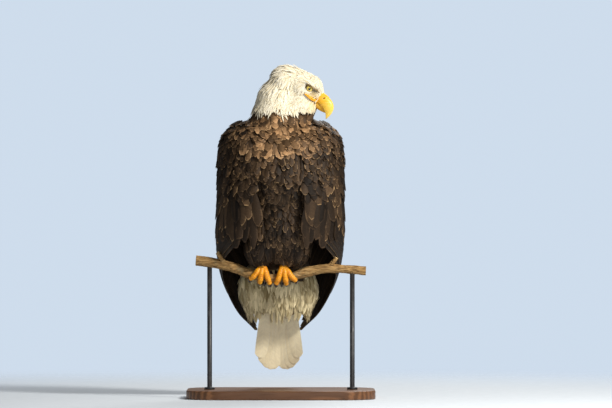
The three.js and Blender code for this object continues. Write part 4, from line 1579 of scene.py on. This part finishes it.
def eye_frame(side):
    """An eyeball's middle, its gaze, and the forward direction across the gaze."""
    centre = head_point([-EYE_RADIUS * math.sin(GAZE_AHEAD) + 2.0, side * EYE_DEEP, 0.0])
    gaze = FORWARD * math.sin(GAZE_AHEAD) + side * RIGHT * math.cos(GAZE_AHEAD)
    across = FORWARD * math.cos(GAZE_AHEAD) - side * RIGHT * math.sin(GAZE_AHEAD)
    return centre, gaze, across


def make_eye(side, name):
    """An eyeball whose clear front bulges a little beyond its ball."""
    centre, gaze, across = eye_frame(side)
    polar = (np.linspace(0, 1, 56) ** 1.25 * math.pi)[:, None]
    turned = circle(48)[None]
    radius = EYE_RADIUS + BULGE * np.clip(1 - (polar / 0.72) ** 2, 0, 1)
    rings = centre + radius[..., None] * wheel(gaze, wheel(across, UP, turned), polar)
    away = np.where(polar < 1.5, EYE_RADIUS * np.sin(polar), 20.0) + 0 * turned
    iris = np.stack([away, np.cos(turned) + 0 * polar, np.sin(turned) + 0 * polar], axis=-1)
    closed_piece(f"eyeball_{name}", rings, "eye", EYE, [f"eye_{name}"], iris=iris)


def make_lids(side, name):
    """The ring of lids: from a rim that lies on the eyeball, out over a low roll, down under the
    coat. The opening is a circle, cut off straight above and drawn to a corner in front."""
    centre, gaze, across = eye_frame(side)
    v = np.linspace(0, 1, 22)[:, None]
    turned = circle(72)[None]
    above, below = np.maximum(np.sin(turned), 0), np.maximum(-np.sin(turned), 0)
    ahead = np.maximum(np.cos(turned), 0)
    opening = (9.2**-6 + (above / 5.9) ** 6) ** (-1 / 6) - 0.6 * below**2 + 0.9 * ahead**8
    rim = np.arcsin(np.clip(opening / EYE_RADIUS, 0, 1))
    radius = EYE_RADIUS + 0.25 + 2.4 * np.sin(math.pi * v**0.5) ** 0.8 * (0.8 + 0.4 * above) - 1.0 * v**2
    radius = radius + 0.18 * np.sin(9 * math.pi * v) * (1 - v)
    ring = wheel(across, UP, turned)
    rings = centre + radius[..., None] * wheel(gaze, ring, mix(rim, LID_BACK, v**0.9))
    inner = centre + (EYE_RADIUS - 1.0) * wheel(gaze, ring, rim + 0.03)
    back = centre + (EYE_RADIUS - 2.5) * wheel(gaze, ring, np.array([LID_BACK]))
    rings = np.concatenate([inner, rings, np.broadcast_to(back, inner.shape), inner])
    shade = step(0.02, 0.30, np.concatenate([[0.0], v[:, 0], [1.0, 0.0]]))[:, None, None]
    tint = opaque(mix(LID_DARK, LID_YELLOW, shade * np.ones((1, 72, 1))))
    closed_piece(f"lids_{name}", rings, "bill", FACE_SKIN, tint=tint)


def make_brow(side, name):
    """The hard ridge that overhangs the eye from before it to behind it, its yellowish grey darkened to
    brown as painted shade.
    """
    t = np.linspace(0, 1, 60)
    size = np.clip(1 - (2 * t - 1) ** 4, 0, 1) ** 0.6 + 0.02
    across = along(BROW_OUT, t) - 4.5 * size
    line = head_point(np.stack([mix(-15, 25, t), side * across, along(BROW_UP, t)], axis=-1))
    rings = pinched(sweep(line, 4.5 * size, 1.7 * size, 24, UP))
    # painted shade colour of the brow
    tint = np.broadcast_to(opaque(BROW_SHADE_BROWN), rings.shape[:2] + (4,))
    closed_piece(f"brow_{name}", rings, "bill", FACE_SKIN, tint=tint)


for side, name in HEAD_SIDES:
    make_eye(side, name)
    make_lids(side, name)
    make_brow(side, name)

# ---------------------------------------------------------------- perch
PERCH_ENDS = 212
PERCH_RADII = (12.5, 10.5)  # at the bird's right and left ends
PERCH_HEIGHTS = [344, 337, 326, 309, 299, 303, 317, 324, 322, 318]
PERCH_DEPTHS = [10, 6, 2, 0, 0, 0, 1, 3, 5, 4]
# Each stub's place along the perch, its lean towards +X in degrees and its length.
STUBS = {"right": (-138, -32, 38), "left": (118, 38, 34)}


def perch_point(t):
    """The perch's middle line: x runs evenly, and its height and depth follow smooth rows."""
    t = np.asarray(t, float)
    depth, height = along(PERCH_DEPTHS, t) + PERCH_Y, along(PERCH_HEIGHTS, t)
    return np.stack([mix(-PERCH_ENDS, PERCH_ENDS, t), depth, height], axis=-1)


def perch_at(x):
    """The point of the perch's middle line above a place along X."""
    return perch_point((np.asarray(x, float) + PERCH_ENDS) / (2 * PERCH_ENDS))


def make_bark_material():
    """Tan bark: long furrows, flaking plates, lenticels, grey-green weathering and darker cracks.
    Sawn holds 1 on a sawn end, which shows rings, and the distance from its middle."""
    material, tree, shader = new_material("bark", 0.85, 0.2)
    furrowed, furrows = mottle(tree, 1.0, 0.3, 0.7, detail=6.0, roughness=0.7, stretch=(45, 330, 330))
    weather, _ = mottle(tree, 38.0, 0.5, 0.72, 0, 0.6, detail=5.0, roughness=0.6)
    plates = cells(tree, 120.0, "DISTANCE_TO_EDGE", (0.16, 1, 1))
    dots = cells(tree, 300.0, "F1", (0.16, 1, 1))
    sawn = split(tree, painted(tree, "sawn"))
    wave = sum_of(tree, "SINE", sum_of(tree, "MULTIPLY_ADD", sawn["Y"], 4.2, furrows))
    wood = layered(tree, srgb(198, 160, 104), (spread(tree, wave, -1, 1), srgb(226, 196, 146)))
    colour = layered(
        tree,
        srgb(112, 82, 46),
        (furrowed, srgb(190, 152, 98)),
        (weather, srgb(150, 138, 104)),
        (spread(tree, plates, 0.0, 0.12, 0.45, 0.0), srgb(74, 52, 28)),
        (spread(tree, dots, 0.12, 0.2, 0.5, 0.0), srgb(206, 178, 130)),
        (sawn["X"], wood),
    )
    height = sum_of(tree, "MULTIPLY_ADD", spread(tree, plates, 0.0, 0.12), 0.3, furrows)
    dress(tree, shader, colour, height, 0.9, 0.0018)
    return material


BARK = make_bark_material()


def make_limb(name, path, radius, columns, seed, replaces=()):
    """A limb along a path, with flat sawn ends. Each ring's radius is shaken by knots, long
    furrows and small lumps."""
    ahead = unit(np.gradient(path, axis=0))
    across = unit(np.array([0.0, 1.0, 0.0]) - ahead * ahead[:, 1:2])
    far = wheel(across[:, None], np.cross(ahead, across)[:, None], circle(columns))
    base = path[:, None] + far * radius[:, None, None]
    stretched = base * np.array([0.18, 1, 1])
    rough = 0.5 * ripple(stretched, 7, seed) + 0.35 * ripple(base, 16, seed + 1)
    rough = rough + 0.3 * ripple(stretched, 3.2, seed + 2)
    swell = 0.7 * np.sin(path[:, 0] / 23 + seed) ** 8
    rings = path[:, None] + far * (radius + swell)[:, None, None] + far * rough[..., None]
    centre = path[:, None] + 0 * far
    steps = np.array([0.0, 0.5, 0.97])[:, None, None]
    near_end = centre[:1] + (rings[:1] - centre[:1]) * steps
    far_end = centre[-1:] + (rings[-1:] - centre[-1:]) * steps[::-1]
    whole = np.concatenate([near_end, rings, far_end])
    middles = np.concatenate([centre[:1]] * 3 + [centre] + [centre[-1:]] * 3)
    sawn = np.zeros(whole.shape)
    sawn[:3, :, 0] = sawn[-3:, :, 0] = 1
    sawn[..., 1] = np.linalg.norm(whole - middles, axis=-1)
    closed_piece(name, whole, "bark", BARK, replaces, sawn=sawn)


def make_perch():
    """The cut branch and its two stubs."""
    t = np.linspace(0, 1, 300)
    radius = mix(*PERCH_RADII, t) + 0.8 * np.sin(31 * t) * np.sin(13 * t)
    make_limb("perch_limb", perch_point(t), radius, 56, 5, ["perch"])
    t = np.linspace(0, 1, 40)
    for name, (x, lean, long) in STUBS.items():
        start = perch_at(x)
        lean = math.radians(lean)
        end = start + [long * math.sin(lean), -long * 0.35, long * math.cos(lean)]
        make_limb(f"stub_{name}", mix(start, end, t[:, None]), 6.5 - 2 * t + 2.5 * (1 - t) ** 6, 32, 9)


make_perch()

# ---------------------------------------------------------------- feet and claws
TOE_RADIUS = 7.4
TOE_PLATES = 11
TOES = [
    {"name": "inner", "from": 112, "to": 226, "rise": 12, "spread": -18, "claw": 40},
    {"name": "middle", "from": 104, "to": 238, "rise": 14, "spread": 8, "claw": 38},
    {"name": "outer", "from": 112, "to": 222, "rise": 12, "spread": 32, "claw": 33},
    {"name": "hind", "from": 74, "to": -42, "rise": 9, "spread": -4, "claw": 42},
]
FEET = [{"side": "left", "x": 6, "splay": 1}, {"side": "right", "x": -45, "splay": -1}]


def make_foot_material():
    """Scaly yellow-orange foot skin: broad plates over the toes, small pebbles on the sides, and painted
    shade darkening the creases. Scute holds 0 in the creases between plates and 1 on them, and how far a
    place lies to the side of the plates."""
    material, tree, shader = new_material(
        "foot_skin", 0.45, 0.45, Subsurface_Weight=0.06, Subsurface_Radius=(0.003, 0.0012, 0.0004)
    )
    scute = split(tree, painted(tree, "scute"))
    tone, _ = mottle(tree, 130.0, 0.3, 0.7, detail=4.0)
    side_crease = spread(tree, cells(tree, 560.0, "DISTANCE_TO_EDGE"), 0.0, 0.10, 1.0, 0.0)
    on_side = sum_of(tree, "MULTIPLY", side_crease, scute["Y"])
    colour = layered(
        tree,
        srgb(204, 122, 8),
        (tone, srgb(242, 166, 26)),
        # painted shade in the creases between the pebbles on the sides
        (sum_of(tree, "MULTIPLY", on_side, 0.55), srgb(120, 70, 14)),
        # painted shade in the creases between the plates
        (spread(tree, scute["X"], 0.0, 0.4, 0.55, 0.0), srgb(134, 78, 14)),
    )
    height = sum_of(tree, "SUBTRACT", scute["X"], sum_of(tree, "MULTIPLY", on_side, 0.6))
    dress(tree, shader, colour, height, 0.8, 0.0007)
    return material


def make_claw_material():
    """Black horn with brown-grey streaks painted in as a sheen, and fine lines along it."""
    material, tree, shader = new_material("claw", 0.25, 0.5, Coat_Weight=0.4)
    streak, lines = mottle(tree, 420.0, 0.45, 0.75, detail=4.0)
    # painted sheen: lighter brown-grey streaks in the horn's colour
    colour = layered(tree, srgb(24, 21, 20), (streak, srgb(74, 62, 52)))
    dress(tree, shader, colour, lines, 0.25, 0.0004)
    return material


FOOT_SKIN = make_foot_material()
CLAW = make_claw_material()


def toe_path(foot, toe, t):
    """A toe comes down over the branch in a spiral about its axis, 90 degrees being its top."""
    centre = perch_at(foot["x"])
    angle = np.radians(mix(toe["from"], toe["to"], t))
    far = PERCH_RADII[0] + TOE_RADIUS - 1.2 + toe["rise"] * (1 - t) ** 2
    sideways = foot["splay"] * toe["spread"] * t**0.8
    level = perch_at(foot["x"] + sideways)[..., 2] - centre[2]
    return centre + np.stack([sideways, far * np.cos(angle), far * np.sin(angle) + level * t], axis=-1)


def around_toe(path, radius, turned, perch_middle):
    """Rings round a toe at the angles turned. Each starts at the toe's back, which faces away from
    the branch."""
    ahead = unit(np.gradient(path, axis=0))
    away = path - perch_middle
    away = unit(away - ahead * dot(away, ahead)[:, None])
    far = wheel(away[:, None], np.cross(ahead, away)[:, None], turned)
    return path[:, None] + far * radius[..., None]


def make_toe(foot, toe):
    """A toe with three or four pads below and a row of overlapping plates along its back."""
    t = np.linspace(0, 1, 120)
    path = toe_path(foot, toe, t)
    turned = circle(40)
    phase = (t * TOE_PLATES) % 1
    plate = (np.minimum(phase, 1 - phase) * 2) ** 0.5
    crease = np.clip(plate * 1.6, 0, 1)[:, None]
    back = step(0.25, 0.75, np.cos(turned))
    pad = step(-0.2, -0.9, np.cos(turned))
    radius = TOE_RADIUS * (1.08 - 0.24 * t + 0.05 * np.cos(6 * math.pi * t))
    ends = np.sqrt(np.clip(1 - np.clip((t - 0.90) / 0.13, 0, 1) ** 2, 0, 1))[:, None]
    relief = 0.45 * (phase**0.7 - 0.5)[:, None] * back + 0.3 * (crease - 1) * back
    relief = relief + 0.9 * np.abs(np.sin(3.5 * math.pi * t))[:, None] * pad
    rings = capped(around_toe(path, radius[:, None] * ends + relief * ends, turned, perch_at(path[:, 0])))
    scute = np.stack([mix(1.0, crease, back), 1 - back + 0 * crease, 0 * crease * back], axis=-1)
    return rings, np.concatenate([scute[:1], scute, scute[-1:]])


def make_shank(foot):
    """The short bare shank between the trousers and the toes."""
    centre = perch_at(foot["x"])
    ankle, palm = centre + [0, 2, 44], centre + [0, -1, 22]
    t = np.linspace(0, 1, 40)
    path = mix(ankle, palm, t[:, None])
    turned = circle(40)
    phase = (t * 6) % 1
    front = step(0.2, 0.8, -np.sin(turned))
    radius = (8.6 + 3.2 * t**2)[:, None] + 0.5 * (phase - 0.5)[:, None] * front
    far = wheel(np.array([1.0, 0, 0]), np.array([0, 1.0, 0]), turned)
    rings = capped(path[:, None] + far[None] * radius[..., None])
    return rings, np.broadcast_to([0.8, 0.6, 0.0], rings.shape)


def make_foot(foot):
    """A foot: the shank and four toes, as one piece."""
    parts = [make_shank(foot)] + [make_toe(foot, toe) for toe in TOES]
    side = foot["side"]
    surface = joined([rings for rings, _ in parts])
    piece = build(f"foot_skin_{side}", *surface, "foot_skin", FOOT_SKIN, [f"foot_{side}"])
    paint(piece, "scute", np.concatenate([scute.reshape(-1, 3) for _, scute in parts]))
    weld(piece)


def make_claw(foot, toe):
    """A claw goes on round the branch from inside its toe's end, flatter below, to a point."""
    start = toe_path(foot, toe, np.array(1.0))
    centre = perch_at(foot["x"] + foot["splay"] * toe["spread"])
    turning = math.copysign(1, toe["to"] - toe["from"])
    far = math.hypot(start[2] - centre[2], start[1] - centre[1])
    begin = math.atan2(start[2] - centre[2], start[1] - centre[1]) - 2 * turning / far
    t = np.linspace(0, 1, 60)
    angle = begin + turning * toe["claw"] / far * t
    reach_out = far + t * (1.5 - t)
    y, z = centre[1] + reach_out * np.cos(angle), centre[2] + reach_out * np.sin(angle)
    path = np.stack([start[0] + 0 * t, y, z], axis=-1)
    turned = circle(28)
    flat_below = 1 - 0.14 * step(-0.3, -1, np.cos(turned))
    radius = (5.2 * (1 - t) ** 0.75 + 0.2)[:, None] * flat_below
    node = f"claw_{toe['name']}_{foot['side']}"
    closed_piece(f"horn_{node}", pinched(around_toe(path, radius, turned, centre)), "claw", CLAW, [node])


for foot in FEET:
    make_foot(foot)
    for toe in TOES:
        make_claw(foot, toe)

# ---------------------------------------------------------------- stand
BASE_CORNER = 90
BASE_BEVEL = 3
ROD_RADIUS, ROD_ACROSS = 6, 178
COLLAR_RADIUS, COLLAR_TALL = 13, 6
ROD_FILLET = 1.2
ROUNDING = 2  # of the collar's upper edge


def make_board_material():
    """Satin walnut: grain in long arches, fine pores, and patches of a darker brown."""
    material, tree, shader = new_material("walnut", 0.55, 0.3, Coat_Weight=0.05, Coat_Roughness=0.4)
    long = add(tree, "Mapping", Scale=(1.2, 11, 11))
    arches = add(tree, "TexWave", bands_direction="Y", Scale=2.6, Distortion=7.0, Detail=4.0)
    wire(
        tree,
        (add(tree, "TexCoord").outputs["Object"], long.inputs["Vector"]),
        (long.outputs[0], arches.inputs["Vector"]),
    )
    bend, _ = mottle(tree, 5.0, 0.3, 0.7, 0, 0.5, detail=3.0)
    pore, pores = mottle(tree, 1.0, 0.55, 0.7, 0, 0.55, detail=3.0, stretch=(18, 520, 520))
    colour = layered(
        tree,
        srgb(84, 56, 36),
        (spread(tree, arches.outputs["Fac"], 0.1, 0.9), srgb(128, 88, 58)),
        (bend, srgb(104, 68, 42)),
        (pore, srgb(56, 36, 22)),
    )
    dress(tree, shader, colour, pores, 0.2, 0.0004, spread(tree, pores, 0.4, 0.7, 0.36, 0.6))
    return material


def make_rod_material():
    """Black powder-coated steel: a fine orange-peel skin with slight rubbing."""
    material, tree, shader = new_material("coated_steel", 0.42, 0.5)
    _, peel = mottle(tree, 700.0, 0, 1)
    worn, rubbed = mottle(tree, 45.0, 0.5, 0.75, detail=5.0)
    colour = layered(tree, srgb(38, 38, 40), (worn, srgb(62, 62, 64)))
    dress(tree, shader, colour, peel, 0.3, 0.0003, spread(tree, rubbed, 0.3, 0.7, 0.36, 0.55))
    return material


def make_base():
    """The base: a rounded rectangle carried up an upright profile with rounded edges."""
    low, high = reach("stand_base")
    half = (high - low)[:2] / 2
    bevel = np.linspace(0, math.pi / 2, 7)
    lower, upper = BASE_BEVEL * (1 - np.cos(bevel)), high[2] - BASE_BEVEL * (1 - np.sin(bevel))
    full = [half[1] * 0.999]
    inset = np.concatenate([full, BASE_BEVEL * (1 - np.sin(bevel)), lower, full])
    level = np.concatenate([[0], lower, upper, [high[2]]])
    corners = []
    for quarter, sign in enumerate(((1, 1), (-1, 1), (-1, -1), (1, -1))):
        angle = np.linspace(0, math.pi / 2, 24) + quarter * math.pi / 2
        middle_xy = np.array(sign) * (half - BASE_CORNER)
        corners.append(middle_xy + BASE_CORNER * np.stack([np.cos(angle), np.sin(angle)], axis=-1))
    outline_xy = np.concatenate(corners)
    outwards = unit(np.roll(outline_xy, 1, axis=0) - np.roll(outline_xy, -1, axis=0))[:, ::-1] * [-1, 1]
    flat = outline_xy - outwards * np.minimum(inset, BASE_CORNER * 0.9)[:, None, None]
    rings = capped(np.concatenate([flat, level[:, None, None] + 0 * flat[..., :1]], axis=-1))
    closed_piece("base_board", rings, "stand_board", make_board_material(), ["stand_base"])


def make_rod(side, name, material):
    """A rod from the base to the underside of the perch, turned with a stepped collar. Its profile
    is rows of radii and heights."""
    low, high = reach(f"stand_rod_{name}")
    x, y, _ = perch_at(side * ROD_ACROSS)
    bottom, tall = low[2], high[2] - low[2]
    soft = np.linspace(0, math.pi / 2, 8)
    radius = np.concatenate(
        [
            [0, COLLAR_RADIUS, COLLAR_RADIUS],
            COLLAR_RADIUS - ROUNDING + ROUNDING * np.cos(soft),
            [ROD_RADIUS + ROD_FILLET],
            ROD_RADIUS + ROD_FILLET * (1 - np.sin(soft)),
            [ROD_RADIUS, ROD_RADIUS, 0],
        ]
    )
    height = bottom + np.concatenate(
        [
            [0, 0, COLLAR_TALL - ROUNDING],
            COLLAR_TALL - ROUNDING + ROUNDING * np.sin(soft),
            [COLLAR_TALL],
            COLLAR_TALL + ROD_FILLET * (1 - np.cos(soft)),
            [COLLAR_TALL + 4, tall - 0.3, tall],
        ]
    )
    turned = circle(48)
    rings = [x + radius[:, None] * np.cos(turned), y + radius[:, None] * np.sin(turned)]
    rings = np.stack(rings + [height[:, None] + 0 * turned], axis=-1)
    closed_piece(f"rod_{name}", rings, "stand_metal", material, [f"stand_rod_{name}"])


make_base()
rod_material = make_rod_material()
for side, name in BOTH_SIDES:
    make_rod(side, name, rod_material)


# ---------------------------------------------------------------- floor, light and camera
PALE = (0.62, 0.72, 0.84)
FLOOR_RADIUS = 3200
MIDDLE = np.array([0, 0, 0.5])  # where the lamps are aimed, in metres


def make_floor():
    """A round pale floor that fades into the backdrop towards its rim."""
    radius = np.linspace(0, FLOOR_RADIUS, 40)[:, None]
    angle = circle(96)[None]
    rings = np.stack([radius * np.cos(angle), radius * np.sin(angle), 0 * radius * angle], axis=-1)
    material, tree, shader = new_material("floor", 0.9, 0.1)
    apart = add(tree, "VectorMath", operation="LENGTH")
    grain, _ = mottle(tree, 30.0, 0.3, 0.7, detail=3.0)
    tone = layered(tree, (0.66, 0.72, 0.79), (grain, (0.69, 0.75, 0.82)))
    wire(
        tree,
        (add(tree, "TexCoord").outputs["Object"], apart.inputs[0]),
        (tone, shader.inputs["Base Color"]),
        (spread(tree, apart.outputs["Value"], 0.7, 2.6, 1.0, 0.0), shader.inputs["Alpha"]),
    )
    mesh = bpy.data.meshes.new("floor")
    faces = tube_faces(*rings.shape[:2])
    mesh.from_pydata((rings.reshape(-1, 3) * MM).tolist(), [], faces[:, ::-1].tolist())
    mesh.materials.append(material)
    floor = link("floor", mesh)


def make_backdrop():
    """A pale backdrop for what the camera and glass see, and a dim even light for the rest."""
    world = bpy.data.worlds.new("studio")
    world.use_nodes = True
    tree = world.node_tree
    soft = next(n for n in tree.nodes if n.type == "BACKGROUND")
    surface = next(n for n in tree.nodes if n.type == "OUTPUT_WORLD")
    soft.inputs["Color"].default_value = (0.97, 0.98, 1.0, 1)
    soft.inputs["Strength"].default_value = 0.16
    shown = add(tree, "Background", Strength=1.0, Color=(*PALE, 1))
    path = add(tree, "LightPath")
    choice = add(tree, "MixShader")
    wire(
        tree,
        (
            sum_of(tree, "MAXIMUM", path.outputs["Is Camera Ray"], path.outputs["Is Transmission Ray"]),
            choice.inputs[0],
        ),
        (soft.outputs[0], choice.inputs[1]),
        (shown.outputs[0], choice.inputs[2]),
        (choice.outputs[0], surface.inputs["Surface"]),
    )
    bpy.context.scene.world = world


def aim_at(thing, place, direction):
    """Puts a lamp or the camera at a place, looking along a direction."""
    thing.location = place
    thing.rotation_mode = "QUATERNION"
    thing.rotation_quaternion = Vector(direction).to_track_quat("-Z", "Y")


def add_lamp(name, azimuth, elevation, distance, size, power, colour):
    """A round soft lamp that faces the bird's middle. Azimuth 0 is in front of it."""
    a, e = math.radians(azimuth), math.radians(elevation)
    back = np.array([math.sin(a) * math.cos(e), -math.cos(a) * math.cos(e), math.sin(e)])
    light = bpy.data.lights.new(name, "AREA")
    light.shape = "DISK"
    light.size = size
    light.energy = power
    light.color = colour
    aim_at(link(name, light), MIDDLE + back * distance, -back)


def make_camera():
    """A long lens in front of the bird, a little below its middle."""
    centre = np.array([0.0625, 0, 0.485])
    place = np.array([0.0625, -12.0, 0.42])
    seen_width = 1.53
    camera = bpy.data.cameras.new("camera")
    camera.sensor_width = 36
    camera.lens = camera.sensor_width * np.linalg.norm(centre - place) / seen_width
    camera.clip_end = 60
    holder = link("camera", camera)
    aim_at(holder, place, centre - place)
    bpy.context.scene.camera = holder


make_floor()
make_backdrop()
add_lamp("key", 42, 31, 3.2, 0.6, 127, (1.0, 0.955, 0.88))
add_lamp("front", 6, 3, 3.5, 1.4, 18, (1.0, 0.98, 0.95))
add_lamp("back", 165, 35, 3.2, 1.6, 55, (1.0, 0.98, 0.94))
make_camera()
bpy.context.scene.view_settings.view_transform = "Standard"
